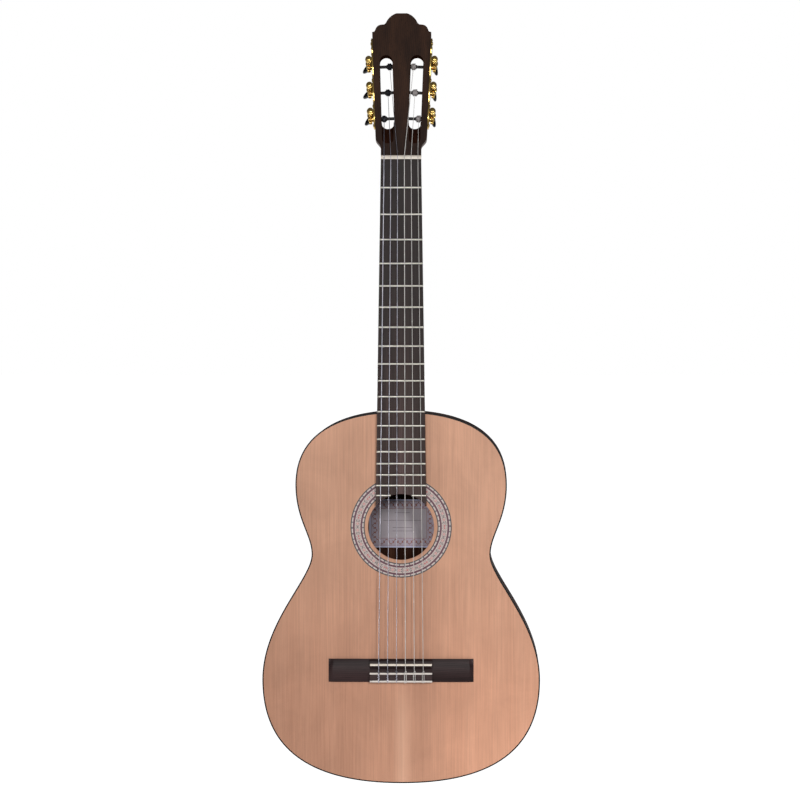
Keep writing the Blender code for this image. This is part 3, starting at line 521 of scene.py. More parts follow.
def soften(obj, width, segments=2, angle=40.0):
    """Rounds the object's sharp edges."""
    modifier = obj.modifiers.new("soften", "BEVEL")
    modifier.width = width * MM
    modifier.segments = segments
    modifier.limit_method = "ANGLE"
    modifier.angle_limit = radians(angle)
    modifier.harden_normals = True


def piece(obj, slot, nodes, body="instrument"):
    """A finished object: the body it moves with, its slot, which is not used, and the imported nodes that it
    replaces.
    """
    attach(obj, body)
    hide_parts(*nodes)


def loft(rings, closed=False):
    """A skin over rings of the same number of points: capped at both ends, or joined end to end."""
    count = len(rings[0])
    points = [p for ring in rings for p in ring]
    faces = [] if closed else [list(range(count)), [len(points) - 1 - i for i in range(count)]]
    for r in range(len(rings) - (not closed)):
        start, after = r * count, (r + 1) % len(rings) * count
        for i in range(count):
            j = (i + 1) % count
            faces.append([start + i, start + j, after + j, after + i])
    return points, faces


def prism(profile, place):
    """A profile between two ends, 0 and 1; place puts its points there."""
    return loft([[place(p, end) for p in profile] for end in (0, 1)])


def box(near, far):
    """A block between two opposite corners."""
    corners = [(near[0], near[1]), (far[0], near[1]), (far[0], far[1]), (near[0], far[1])]
    return prism(corners, lambda p, end: (p[0], p[1], (near[2], far[2])[end]))


def turned(profile, sides, place, tall=1.0):
    """A profile of (height, radius) turned round an axis; tall stretches it across."""
    round_once = circle((0, 0), 1.0, sides)
    return loft([[place(r * p, r * tall * q, h) for p, q in round_once] for h, r in profile])


def circle(centre, radius, steps, start=0.0, stop=360.0):
    """A circle's points, or an arc's with both of its ends."""
    last = steps if stop - start >= 360 else steps - 1
    turns = [radians(start + (stop - start) * i / last) for i in range(steps)]
    return [(centre[0] + radius * cos(t), centre[1] + radius * sin(t)) for t in turns]


def dome(start, radius, height, steps=7):
    """The (height, radius) profile of a low dome, from its rim to its middle."""
    turns = [radians(90 * i / steps) for i in range(steps)]
    return [(start + height * sin(t), radius * cos(t)) for t in turns] + [(start + height, radius * 0.04)]


def grown(loop, amount):
    """A loop that runs anticlockwise, moved outwards."""
    moved = []
    for i, (x, y) in enumerate(loop):
        (x0, y0), (x1, y1) = loop[i - 1], loop[(i + 1) % len(loop)]
        length = hypot(x1 - x0, y1 - y0)
        moved.append((x + amount * (y1 - y0) / length, y - amount * (x1 - x0) / length))
    return moved


def plate(loops, place, levels):
    """A plate with holes: loops run anticlockwise, the edge first; levels are (height, inset)."""
    rows = []
    for height, inset in levels:
        row = []
        for number, loop in enumerate(loops):
            row += [(p, height) for p in (grown(loop, inset if number else -inset) if inset else loop)]
        rows.append(row)
    triangles = tessellate_polygon([[Vector((x, y, 0.0)) for x, y in loop] for loop in loops])
    count = len(rows[0])
    points = [place(p, height) for row in rows for p, height in row]
    top = len(points) - count
    faces = [list(t) for t in triangles] + [[top + i for i in reversed(t)] for t in triangles]
    for r in range(len(rows) - 1):
        start = r * count
        for loop in loops:
            for i in range(len(loop)):
                a, b = start + i, start + (i + 1) % len(loop)
                faces.append([a, b, count + b, count + a])
            start += len(loop)
    return points, faces


def lattice(wide, tall):
    """The faces between tall rows of wide points, and the points round the edge in their order."""
    starts = [row * wide + i for row in range(tall - 1) for i in range(wide - 1)]
    last = (tall - 1) * wide
    rim = [*range(wide), *range(2 * wide - 1, last + wide, wide)]
    rim += [*range(last + wide - 2, last - 1, -1), *range(last - wide, 0, -wide)]
    return [[a, a + 1, a + wide + 1, a + wide] for a in starts], rim


def following(items):
    """Each item with the next one, the last with the first."""
    return zip(items, items[1:] + items[:1])


def edge_levels(bottom, top, inset):
    """The (height, inset) levels of a plate whose upper edge is rounded."""
    return ((bottom, 0.0), (top - 0.35, 0.0), (top - 0.1, inset), (top, 0.35))


def bezier(p0, p1, p2, p3, t):
    s = 1 - t
    parts = (s**3, 3 * s * s * t, 3 * s * t * t, t**3)
    return tuple(sum(k * p[axis] for k, p in zip(parts, (p0, p1, p2, p3))) for axis in (0, 1))


def rounded(path, reach, steps=5):
    """A path with each corner turned into a curve that starts this far before it."""
    spots = [Vector(p) for p in path]
    made = [spots[0]]
    for before, corner, after in zip(spots, spots[1:], spots[2:]):
        near, far = before - corner, after - corner
        start = corner + near * min(reach / near.length, 0.48)
        stop = corner + far * min(reach / far.length, 0.48)
        for i in range(steps + 1):
            t = i / steps
            made.append((1 - t) ** 2 * start + 2 * t * (1 - t) * corner + t * t * stop)
    return [*made, spots[-1]]


def tube(path, radius, sides=10):
    """A round string along a path, its ends slightly rounded."""
    spots = [Vector(p) for p in path]
    rings, across = [], Vector((1, 0, 0))
    for i, spot in enumerate(spots):
        along = (spots[min(i + 1, len(spots) - 1)] - spots[max(i - 1, 0)]).normalized()
        across = across - along * across.dot(along)
        if across.length < 0.05:
            across = along.orthogonal()
        across.normalize()
        up = along.cross(across)
        thick = radius * (0.6 if i in (0, len(spots) - 1) else 1.0)
        turns = [tau * k / sides for k in range(sides)]
        rings.append([spot + thick * (cos(t) * across + sin(t) * up) for t in turns])
    return loft(rings)


# --- the body --------------------------------------------------------------------------------


def edge_point(spot, inset):
    """A point of the right half's outline, spot running from 0 at the tail to 4 at the neck."""
    part = min(int(spot), len(OUTLINE) - 2)
    t = spot - part
    (start, _, after), (stop, before, _) = OUTLINE[part], OUTLINE[part + 1]
    out_of = (start[0] + after, start[1]) if part == 0 else (start[0], start[1] + after)
    into = (stop[0] + before, stop[1]) if part == len(OUTLINE) - 2 else (stop[0], stop[1] - before)
    nudge = 1e-4
    here = bezier(start, out_of, into, stop, t)
    back = bezier(start, out_of, into, stop, max(t - nudge, 0))
    ahead_of = bezier(start, out_of, into, stop, min(t + nudge, 1))
    along = Vector((ahead_of[0] - back[0], ahead_of[1] - back[1])).normalized()
    return (here[0] - inset * along[1], here[1] + inset * along[0])


def spot_at(half_width, first, last):
    """Where between two spots the outline has this half width."""
    rising = edge_point(last, 0)[0] > edge_point(first, 0)[0]
    for _ in range(40):
        middle = (first + last) / 2
        if (edge_point(middle, 0)[0] < half_width) == rising:
            first = middle
        else:
            last = middle
    return first


SPOTS = [i / OUTLINE_STEPS for i in range(4 * OUTLINE_STEPS + 1)]


def body_loop(inset):
    """The whole outline this far inside the ribs' outer face, anticlockwise from the tail."""
    right = [edge_point(spot, inset) for spot in SPOTS]
    return right + [(-x, z) for x, z in reversed(right[1:-1])]


def ahead(forward):
    """The Y of a place this far in front of the soundboard's face."""
    return FRONT_Y - forward


def back_edge(z):
    """The Y of the back's rim, nearer to the front at the neck."""
    return FRONT_Y + DEPTH_TAIL + (DEPTH_NECK - DEPTH_TAIL) * z / BODY_LENGTH


def arch(share, z):
    """How far the back bulges at a share of its half width."""
    along = 2 * z / BODY_LENGTH - 1
    return BACK_ARCH * (1 - share * share) * (1 - along**4)


def make_top():
    """The soundboard, with a channel for the rosette and a rounded edge at the hole."""
    sides = 144
    inner, outer = ROSETTE
    steps = [(outer, 0.0), (outer, ROSETTE_DEPTH), (inner, ROSETTE_DEPTH), (inner, 0.0)]
    lip = ((0.5, 0.0), (0.15, 0.15), (0.0, 0.5))
    steps += [(HOLE_R + wider, deep) for wider, deep in lip]
    steps += [(HOLE_R + wider, PLATE - deep) for wider, deep in reversed(lip)]
    outline = body_loop(BINDING)
    count = len(outline)
    points = [(x, FRONT_Y + deep, z) for deep in (0.0, PLATE) for x, z in outline]
    faces = [[i, j, count + j, count + i] for i, j in following(list(range(count)))]
    for radius, deep in steps:
        points += [(x, FRONT_Y + deep, z) for x, z in circle((0, HOLE_Z), radius, sides)]
    for start in range(2 * count, len(points) - sides, sides):
        for i, j in following(list(range(start, start + sides))):
            faces.append([i, j, sides + j, sides + i])
    for first, ring in ((0, 0), (count, len(steps) - 1)):
        hole = circle((0, HOLE_Z), steps[ring][0], sides)
        loops = [[Vector((x, z, 0.0)) for x, z in loop] for loop in (outline, hole)]
        past = count + ring * sides
        faces += [[first + i if i < count else past + i for i in face] for face in tessellate_polygon(loops)]
    piece(solid("cedar_top", (points, faces), [CEDAR], sharp=30), "cedar", ["soundboard"])


# Half of a generic repeating border, from its inner edge to its middle row.
MOTIF = (
    "....................",
    "..g....g......g...g.",
    ".g.g..kg.g...g.g.g..",
    "g...g..gk.g.g...g.g.",
    "..r..g..gkg..rr..g.g",
    ".rrr..g..g..rppr..k.",
    "rrpr.g.gg..rpwwp.gkk",
)
MOSAIC_ROWS = 2 * len(MOTIF) - 1
REPEATS = 13
# How many dashes run round the outer and the inner edge, and how much of each is its dark gap.
DASHES = (54, 46)
DASH_GAP = 0.26
# Where the rows at each edge begin and end, in from that edge.
EDGE_ROWS = (0.0, 1.45, 2.05, 2.65, 3.2, 5.6)


def slip(row, column, columns):
    """The colour of the slip of veneer at a place in the rosette; rows run outwards."""
    inner, outer = len(EDGE_ROWS) - 1, len(EDGE_ROWS) - 1 + MOSAIC_ROWS
    if inner <= row < outer:
        place = row - inner
        place = min(place, MOSAIC_ROWS - 1 - place)
        column %= 2 * len(MOTIF[0])
        return MOTIF[place][min(column, 2 * len(MOTIF[0]) - 1 - column)]
    depth = row if row < inner else outer + inner - 1 - row
    if depth == 0:
        return "k"
    if depth == len(EDGE_ROWS) - 2:
        return "m"
    share = column * DASHES[row < inner] / columns % 1
    return "g" if share < DASH_GAP else "w"


def rosette_radii():
    """The rings' edges: a black line, dashes, a maroon line, the mosaic, and the same outwards."""
    inside = [ROSETTE[0] + e for e in EDGE_ROWS]
    outside = [ROSETTE[1] - e for e in reversed(EDGE_ROWS)]
    wide = (outside[0] - inside[-1]) / MOSAIC_ROWS
    return inside + [inside[-1] + wide * i for i in range(1, MOSAIC_ROWS)] + outside


def make_rosette():
    """A mosaic ring of small slips of veneer, flush with the soundboard."""
    columns = REPEATS * 2 * len(MOTIF[0])
    radii = rosette_radii()
    deep = ROSETTE_DEPTH - 0.1
    section = [(r, FRONT_Y) for r in radii] + [(radii[-1], FRONT_Y + deep), (radii[0], FRONT_Y + deep)]
    names = list(CHIPS)
    rings, marks = [], []
    for column in range(columns):
        turn = tau * column / columns
        rings.append([(r * cos(turn), y, HOLE_Z + r * sin(turn)) for r, y in section])
        marks += [names.index(slip(row, column, columns)) for row in range(len(radii) - 1)]
        marks += [names.index("k")] * (len(section) - len(radii) + 1)
    ring = solid("rosette_mosaic", loft(rings, closed=True), list(CHIPS.values()), marks)
    piece(ring, "marquetry", ["rosette"])


def make_bindings():
    """Black edging with a rounded outer corner, let into the edges of both plates."""
    corner = 0.8
    turns = (0, 0.26, 0.52, 0.79, 1.05, 1.31, pi / 2)
    section = [(BINDING, BINDING_DEPTH), (0.0, BINDING_DEPTH)]
    section += [(corner * (1 - cos(t)), corner * (1 - sin(t))) for t in turns]
    section.append((BINDING, 0.0))
    loops = [body_loop(inset) for inset, _ in section]
    depths = [deep for _, deep in section]
    for name, node, face, way in (
        ("binding_front", "top_binding", lambda z: FRONT_Y, 1),
        ("binding_rear", "back_binding", back_edge, -1),
    ):
        rings = [[(x, face(z) + way * deep, z) for (x, z), deep in zip(ring, depths)] for ring in zip(*loops)]
        edging = solid(name, loft(rings, closed=True), [LACQUER], sharp=60)
        piece(edging, "black_plastic", [node])


def make_ribs():
    """The two bent sides and the strip of wood that covers their joint at the tail."""
    neck_gap, rows = 10.2, 6
    first, last = spot_at(GRAFT_HALF, 0, 1), spot_at(neck_gap, 3.5, 4)
    spots = [first, *(s for s in SPOTS if first < s < last), last]
    front = FRONT_Y + BINDING_DEPTH
    for side, word in ((-1, "left"), (1, "right")):
        rings = []
        for spot in spots:
            (x, z), (inner_x, inner_z) = edge_point(spot, 0.03), edge_point(spot, RIB)
            rear = back_edge(z) - BINDING_DEPTH
            outer = [(side * x, front + (rear - front) * k / rows, z) for k in range(rows + 1)]
            rings.append([*outer, (side * inner_x, rear, inner_z), (side * inner_x, front, inner_z)])
        piece(solid("rib_" + word, loft(rings), [RIB_WOOD]), "mahogany", ["side_" + word])
    rear = back_edge(0) - BINDING_DEPTH
    strip = solid("tail_strip", box((-GRAFT_HALF, front, 0.0), (GRAFT_HALF, rear, RIB)), [BRIDGE_WOOD])
    soften(strip, 0.15)
    piece(strip, "rosewood", ["end_graft"])


def make_back():
    """The arched back in two matched halves, polished outside and bare inside."""
    wide = 33
    shares = [2 * i / (wide - 1) - 1 for i in range(wide)]
    rows = [edge_point(spot, BINDING) for spot in SPOTS][1:-1]
    points = []
    for thick in (0.0, PLATE):
        points += [(x * k, back_edge(z) + arch(k, z) - thick, z) for x, z in rows for k in shares]
    outside, rim = lattice(wide, len(rows))
    inner = len(rows) * wide
    inside = [[inner + a, inner + d, inner + c, inner + b] for a, b, c, d in outside]
    edges = [[a, inner + a, inner + b, b] for a, b in following(rim)]
    marks = [0] * len(outside) + [1] * len(inside) + [0] * len(edges)
    back = solid("back_panel", (points, outside + inside + edges), [BACK_WOOD, BARE_WOOD], marks)
    piece(back, "mahogany", ["back_plate"])


# How far the label's border lies from its edge, and its blank rules: (height, half length).
LABEL_BORDER = (2.6, 12.6)
LABEL_RULES = ((14.0, 10.0), (4.0, 25.0), (-5.5, 13.0), (-10.0, 13.0))


def ink(s, t, half_wide, half_tall):
    """What is printed at a place on the label: a scrolled border round a field of blank rules."""
    edge = min(half_wide - abs(s), half_tall - abs(t))
    near, far = LABEL_BORDER
    if edge < near:
        return "paper_margin"
    if edge < far:
        along = s if half_tall - abs(t) < half_wide - abs(s) else t
        across = edge - (near + far) / 2
        vine = 2.9 * sin(tau * along / 12.0)
        leaf = hypot((along + 3.0) % 6.0 - 3.0, across + vine * 0.85)
        drawn = abs(across - vine) < 0.5 or leaf < 1.15 or abs(abs(across) - 4.7) < 0.25
        return "ink_brown" if drawn else "paper_band"
    ruled = any(abs(t - height) < 0.35 and abs(s) < reach for height, reach in LABEL_RULES)
    return "ink_grey" if ruled else "paper_field"


def make_label():
    """The paper glued inside the back, printed with an ornament and blank rules."""
    near, far = low("label"), high("label")
    half_wide, half_tall = far.x, (far.z - near.z) / 2
    middle = (far.z + near.z) / 2
    columns, rows = 176, 127

    def spot(column, row):
        return half_wide * (2 * column / columns - 1), half_tall * (2 * row / rows - 1)

    corners = [spot(c, r) for r in range(rows + 1) for c in range(columns + 1)]
    cells = [spot(c + 0.5, r + 0.5) for r in range(rows) for c in range(columns)]
    names = list(PAPER)
    marks = [names.index(ink(s, t, half_wide, half_tall)) for s, t in cells]
    points = [(s, near.y, middle + t) for s, t in corners]
    count = len(points)
    faces, rim = lattice(columns + 1, rows + 1)
    points += [(points[i][0], far.y, points[i][2]) for i in rim]
    faces.append([count + i for i in reversed(range(len(rim)))])
    for (i, a), (j, b) in following(list(enumerate(rim))):
        faces.append([a, count + i, count + j, b])
    marks += [0] * (len(rim) + 1)
    piece(solid("label_print", (points, faces), list(PAPER.values()), marks), "paper", ["label"])


# --- the neck and the head -------------------------------------------------------------------


def head_place(u, v, n):
    """A point of the head's own frame: u across, v to the tip, n out of its face."""
    y = FRONT_Y + v * sin(HEAD_TILT) - n * cos(HEAD_TILT)
    return (u, y, HEAD_Z + v * cos(HEAD_TILT) + n * sin(HEAD_TILT))


def on_head(p, n):
    return head_place(p[0], p[1], n)


TAPER = atan2(HEAD_HIGH[0] - HEAD_LOW[0], HEAD_HIGH[1] - HEAD_LOW[1])


def smooth_step(share):
    return share * share * (3 - 2 * share)


def head_half(v):
    """Half of the head's width: the flare above the nut, then its straight, widening sides."""
    if v < FLARE_V:
        return FLARE_LOW
    if v < HEAD_LOW[1]:
        share = min((v - FLARE_V) / FLARE_LENGTH, 1)
        eased = smooth_step(share)
        straight = FLARE_DRIFT * (v - FLARE_V) / (HEAD_LOW[1] - FLARE_V)
        return FLARE_LOW + FLARE_REACH * eased + straight * eased
    return HEAD_LOW[0] + (v - HEAD_LOW[1]) * tan(TAPER)


def head_outline(start):
    """The head from v = start up, round the three-lobed crown, anticlockwise."""
    whole = int(HEAD_LOW[1])
    right = [(head_half(v), v) for v in [start, *range(ceil(start + 0.5), whole, 1)]]
    right += [(head_half(v), v) for v in range(whole, int(HEAD_HIGH[1]), 10) if v > start]
    right += [HEAD_HIGH, (HEAD_HIGH[0] - CORNER_CUT[0], HEAD_HIGH[1] + CORNER_CUT[1])]
    right += [bezier(*SHOULDER, t / 14) for t in range(15)]
    right += circle((0, CROWN_V), CROWN_R, 20, *CROWN_TURNS)
    return right + [(-u, v) for u, v in reversed(right)]


def slot_shape(side):
    """A slot's cutter, whose top end slants towards the tip behind."""
    lean = degrees(atan2(SLOT_HIGH[0] - SLOT_LOW[0], SLOT_HIGH[1] - SLOT_LOW[1]))
    loop = circle(SLOT_HIGH, SLOT_R, 28, -lean, 180 - lean)
    loop += circle(SLOT_LOW, SLOT_R, 28, 180 - lean, 360 - lean)
    behind, above = -HEAD_THICK - 1, VENEER + 2

    def place(p, end):
        slant = SLOT_SLANT if end == 0 and p[1] > SLOT_HIGH[1] - 2 else 0
        return head_place(side * p[0], p[1] + slant, (behind, above)[end])

    return prism(loop, place)


def ramp_shape(side):
    """The sloping way for the strings from the face down into the slot, round-bottomed."""
    rings = []
    reach, middle = SLOT_R - 0.7, SLOT_LOW[0]
    for v, floor in ((15.0, VENEER), (48.0, -13.5), (60.0, -19.5)):
        ring = [(middle - reach, VENEER + 3), (middle + reach, VENEER + 3)]
        for turn in [radians(t) for t in range(0, 181, 20)]:
            lift = 3.0 * (1 - sin(turn) ** 0.7)
            ring.append((middle + reach * cos(turn), min(floor + lift, VENEER + 2.9)))
        rings.append([head_place(side * u, v, n) for u, n in ring])
    return loft(rings)


def neck_share(z):
    return (NUT_Z - z) / (NUT_Z - BODY_LENGTH)


def neck_depth(z):
    return NECK_DEPTH[0] + (NECK_DEPTH[1] - NECK_DEPTH[0]) * neck_share(z)


def neck_half(z):
    return NECK_HALF[0] + (NECK_HALF[1] - NECK_HALF[0]) * neck_share(z)


def neck_section(half, depth, heel, square):
    """The neck cut across: (x, depth) from its right edge round the back to its left edge.

    heel is how much it narrows to the heel's width; square 2 is an ellipse and more is boxier."""
    steps = 22
    right = []
    for i in range(steps + 1):
        turn = radians(90 * i / steps)
        down = sin(turn) ** (2 / square)
        plain = half * cos(turn) ** (2 / square)
        narrow = HEEL_HALF + (half - HEEL_HALF) * (1 - down) ** 3
        right.append((max((1 - heel) * plain + heel * narrow, 0.3), down * depth))
    return right + [(-x, d) for x, d in reversed(right)]


def neck_rings():
    """The heel's flat end, its sweep up to the shaft, the shaft, and the flare into the head."""
    heel_depth = DEPTH_NECK - 1
    heel_fade, shape_round, shape_square = 50.0, 2.1, 36.0
    stations = [(z, heel_depth, 1.0) for z in (BODY_LENGTH, BODY_LENGTH + 8, HEEL_Z)]
    for turn in [radians(t) for t in range(3, 91, 3)]:
        z = HEEL_Z + HEEL_REACH * (1 - cos(turn))
        deep = neck_depth(z) + (heel_depth - neck_depth(z)) * (1 - sin(turn))
        share = max(0.0, 1 - (z - HEEL_Z) / heel_fade)
        stations.append((z, deep, smooth_step(share) * 0.5 + share * 0.5))
    shaft = (*range(570, 800, 20), NUT_Z)
    stations += [(z, neck_depth(z), 0.0) for z in shaft]
    rings = []
    for z, deep, heel in stations:
        rings.append([(x, FRONT_Y + d, z) for x, d in neck_section(neck_half(z), deep, heel, 2.0)])
    for v in range(0, NECK_END + 1, 2):
        deep = NECK_DEPTH[0] + (HEAD_THICK - NECK_DEPTH[0]) * min(v / 25, 1)
        square = min(shape_round * exp(0.07 * v), shape_square)
        rings.append([head_place(x, v, -d) for x, d in neck_section(head_half(v), deep, 0.0, square)])
    return rings


def machine(side, number):
    """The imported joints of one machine: places (a, b, c) about its roller's axis."""
    turns = {joint["name"]: joint for joint in frame["joints"]}
    roller = turns[f"roller_{side}_{number}_turn"]
    worm = turns[f"button_{side}_{number}_turn"]
    start, out, front = Vector(roller["pos_m"]) / MM, Vector(roller["axis"]), Vector(worm["axis"])
    up = Vector(worm["pos_m"]) / MM - start
    up = (up - out * up.dot(out)).normalized()
    return lambda a, b, c: start + out * a + up * b + front * c


MACHINES = [(side, number) for side in ("left", "right") for number in (1, 2, 3)]


def about_roller(side, number):
    place = machine(side, number)
    return lambda p, q, a: place(a, p, q)


def about_worm(side, number):
    place = machine(side, number)
    return lambda p, q, c: place(WORM_A + p, WORM_B + q, c)


def make_neck():
    """Shaft and heel, the head's core above them, and the veneer on the head's face."""
    # The faces cut by slots, ramps and bores take the darker wood, a painted shade.
    looks = [NECK_WOOD, SLOT_PAINTED_SHADE_WOOD]
    neck = solid("neck_wood", loft(neck_rings()), looks)
    levels = ((-HEAD_THICK, 0.7), (-HEAD_THICK + 0.2, 0.2), (-HEAD_THICK + 0.7, 0.0), (0.0, 0.0))
    core = solid("head_core", plate([head_outline(NECK_END)], on_head, levels), looks, sharp=20)
    veneer = plate([head_outline(0.0)], on_head, edge_levels(0.0, VENEER, 0.1))
    veneer = solid("head_veneer", veneer, [HEAD_WOOD, SLOT_PAINTED_SHADE_WOOD], sharp=20)
    for cutter in [shape(side) for side in (-1, 1) for shape in (slot_shape, ramp_shape)]:
        combine(neck, cutter, "DIFFERENCE", look=1)
        combine(core, cutter, "DIFFERENCE", 20, 1)
        combine(veneer, cutter, "DIFFERENCE", 20, 1)
    bore = [(a, ROLLER_R + 0.4) for a in (ROLLER_END - 0.4, 2.0)]
    for side, number in MACHINES:
        combine(core, turned(bore, 20, about_roller(side, number)), "DIFFERENCE", 20, 1)
    piece(neck, "mahogany", ["neck"])
    piece(core, "mahogany", ["neck"])
    piece(veneer, "rosewood", ["headplate"])


def fret_z(number):
    return NUT_Z - SCALE * (1 - 2 ** (-number / 12))


def make_board():
    """The fingerboard, whose end follows the soundhole's edge."""
    end_r = HOLE_R + 0.3
    foot = HOLE_Z
    for _ in range(20):
        foot = HOLE_Z + sqrt(end_r**2 - neck_half(foot) ** 2)
    start = degrees(asin((foot - HOLE_Z) / end_r))
    hollow = circle((0, HOLE_Z), end_r, 48, start, 180 - start)
    heights = [foot + (NUT_Z - foot) * i / 12 for i in range(1, 13)]
    loop = [(neck_half(z), z) for z in heights] + [(-neck_half(z), z) for z in reversed(heights)]
    loop += hollow[::-1]
    levels = ((0.0, 0.0), (BOARD_TOP - 0.3, 0.0), (BOARD_TOP - 0.08, 0.09), (BOARD_TOP, 0.3))
    board = plate([loop], lambda p, n: (p[0], ahead(n), p[1]), levels)
    board = solid("board", board, [BOARD_WOOD], sharp=20)
    piece(board, "rosewood", ["fingerboard"])


def fret_wire(start, stop, z):
    """A domed wire with bevelled ends, and its tang."""
    base, rise, half = BOARD_TOP - 0.02, 1.12, 1.15
    bevel = ((0.0, 0.2), (0.35, 0.62), (0.9, 0.95), (1.3, 1.0))
    stations = [(start + x, share) for x, share in bevel]
    stations += [(start + (stop - start) * k / 6, 1.0) for k in range(1, 6)]
    stations += [(stop - x, share) for x, share in reversed(bevel)]
    turns = [radians(180 * i / 10) for i in range(11)]
    skin = []
    for x, share in stations:
        skin.append([(x, ahead(base + rise * share * sin(t) ** 0.8), z + half * cos(t)) for t in turns])
    tang = box((start + 0.02, ahead(base), z - 0.28), (stop - 0.02, ahead(base - 2.2), z + 0.28))
    return merge(loft(skin), tang)


def make_frets():
    """The nineteen frets, the last one in two halves beside the hole."""
    wires = []
    for number in range(1, FRETS + 1):
        z = fret_z(number)
        half = neck_half(z) + 0.03
        spans = [(-half, half)]
        if number == FRETS:
            hollow = sqrt((HOLE_R + 0.3) ** 2 - (z - HOLE_Z) ** 2) + 0.6
            spans = [(-half, -hollow), (hollow, half)]
        wires += [fret_wire(start, stop, z) for start, stop in spans]
    piece(solid("fret_wires", merge(*wires), [NICKEL], sharp=50), "nickel", ["frets"])


def string_x(number, spread):
    """How far across a string lies; number 0 is the first string, on the right."""
    return spread * (0.5 - number / 5)


def bar(section, half, ends, floor, z):
    """A section of (height, forward) drawn from side to side, rounded at its ends above a floor."""
    stations = [(along - half, inset) for along, inset in ends]
    stations += [(half - along, inset) for along, inset in reversed(ends)]
    rings = []
    for x, inset in stations:
        rings.append([(x, ahead(f - inset if f > floor else f), z + d) for d, f in section])
    return loft(rings)


def make_nut():
    """The bone nut with a groove for each string."""
    top = NUT_TOP
    section = [(0.05, -0.3), (0.05, top - 0.5), (0.2, top - 0.15), (0.55, top), (1.6, top - 0.05)]
    section += [(2.8, top - 0.5), (3.8, top - 1.3), (4.6, top - 2.4), (5.15, top - 3.8), (5.2, -1.2)]
    ends = ((0.0, 0.3), (0.12, 0.1), (0.4, 0.0))
    nut = solid("nut_bone", bar(section, NECK_HALF[0] - 0.1, ends, 1.0, NUT_Z), [BONE])
    drop, start, length = 1.6, NUT_Z - 0.6, 7.0

    def through(p, end):
        return (p[0], p[1] + end * drop, start + end * length)

    for number, diameter in enumerate(STRING_DIAMETERS):
        x, reach = string_x(number, NUT_SPREAD), diameter / 2 + 0.06
        middle = STRING_AT_NUT - diameter / 2 + reach
        turns = (0, 0.5, 1.05, 1.57, 2.1, 2.64, pi)
        groove = [(x + reach * cos(t), ahead(middle - reach * sin(t))) for t in turns]
        groove += [(x + side * reach, ahead(top + 2)) for side in (-1, 1)]
        combine(nut, prism(groove, through), "DIFFERENCE")
    piece(nut, "bone", ["nut"])


# --- the bridge and the strings --------------------------------------------------------------


def bridge_middle():
    """The bridge cut along the centre line: (height, forward)."""
    rabbet = TIE_TOP - 1.4
    front = [(0.0, 0.0), (0.0, 4.6), (0.6, 6.0), (1.7, 7.7), (3.0, 8.5)]
    valley = [(2.6, 8.5), (3.4, 7.6), (4.4, 5.6), (5.4, 4.6)]
    path = [(BRIDGE_FRONT - d, f) for d, f in front] + [(SADDLE_Z - d, f) for d, f in valley]
    path += [(TIE_FRONT + 0.6, 4.2), (TIE_FRONT, 4.4), (TIE_FRONT, rabbet)]
    path += [(TIE_FRONT - INLAY_WIDE, rabbet), (TIE_FRONT - INLAY_WIDE, TIE_TOP)]
    path += [(BRIDGE_REAR + INLAY_WIDE, TIE_TOP), (BRIDGE_REAR + INLAY_WIDE, rabbet)]
    return path + [(BRIDGE_REAR, rabbet), (BRIDGE_REAR, 0.0)]


def bridge_wing(side):
    """Half of the bridge's low part, scooped away towards its end."""
    depth, scoop, steps = BRIDGE_FRONT - BRIDGE_REAR, 7.0, 16
    start = BRIDGE_HALF - scoop
    stations = [(TIE_HALF - 3, 0.0), (TIE_HALF + 1, 0.0), (start, 0.0)]
    stations += [(start + scoop * k / 6, k / 6) for k in range(1, 7)]
    rings = []
    for x, share in stations:
        ring = [(0.0, 0.0)]
        for across in [i / steps for i in range(steps + 1)]:
            crown = 2.0 + 2.3 * sin(pi * across) ** 0.8
            curve = max(0.0, share - 0.35 * sin(pi * across)) / 0.65
            ring.append((depth * across, crown * (1 - 0.62 * min(curve, 1.0))))
        rings.append([(side * x, ahead(f), BRIDGE_FRONT - d) for d, f in [*ring, (depth, 0.0)]])
    return loft(rings)


def make_bridge():
    """The middle with the saddle's slot and the tie block, two wings, and the inlaid strips."""
    middle = prism(bridge_middle(), lambda p, end: ((-TIE_HALF, TIE_HALF)[end], ahead(p[1]), p[0]))
    bridge = solid("bridge_wood", middle, [BRIDGE_WOOD])
    for side in (-1, 1):
        combine(bridge, bridge_wing(side), "UNION")
    half = (high("saddle").z - low("saddle").z) / 2 + 0.03
    wide = TIE_HALF + 1
    slot = box((-wide, ahead(20), SADDLE_Z - half), (wide, ahead(4.0), SADDLE_Z + half))
    combine(bridge, slot, "DIFFERENCE")
    hole = [(BRIDGE_REAR - 2, 0.9), (TIE_FRONT + 2, 0.9)]
    for number in range(6):
        x = string_x(number, SADDLE_SPREAD)
        bore = turned(hole, 14, lambda p, q, z: (x + p, ahead(TIE_HOLE + q), z))
        combine(bridge, bore, "DIFFERENCE")
    soften(bridge, 0.3, 2, 45)
    piece(bridge, "rosewood", ["bridge"])
    for node, word in (("tie_inlay_front", "front"), ("tie_inlay_rear", "rear")):
        near, far = low(node), high(node)
        strip = box((near.x, near.y, near.z - 0.05), (far.x, far.y + 0.2, far.z + 0.05))
        strip = solid("inlay_" + word, strip, [STRIP])
        soften(strip, 0.3)
        piece(strip, "bone", [node])


def make_saddle():
    """The bone saddle, round-topped and eased at its ends."""
    near, far = low("saddle"), high("saddle")
    half, top, foot = (far.z - near.z) / 2, FRONT_Y - near.y, FRONT_Y - far.y
    turns = [pi - pi * i / 12 for i in range(13)]
    crown = [(half * cos(t), top - half * 0.8 + half * 0.8 * sin(t)) for t in turns]
    ends = ((0.0, 0.8), (0.2, 0.3), (0.8, 0.0))
    shape = bar([(-half, foot), *crown, (half, foot)], far.x, ends, top - 2, SADDLE_Z)
    piece(solid("saddle_bone", shape, [BONE]), "bone", ["saddle"])


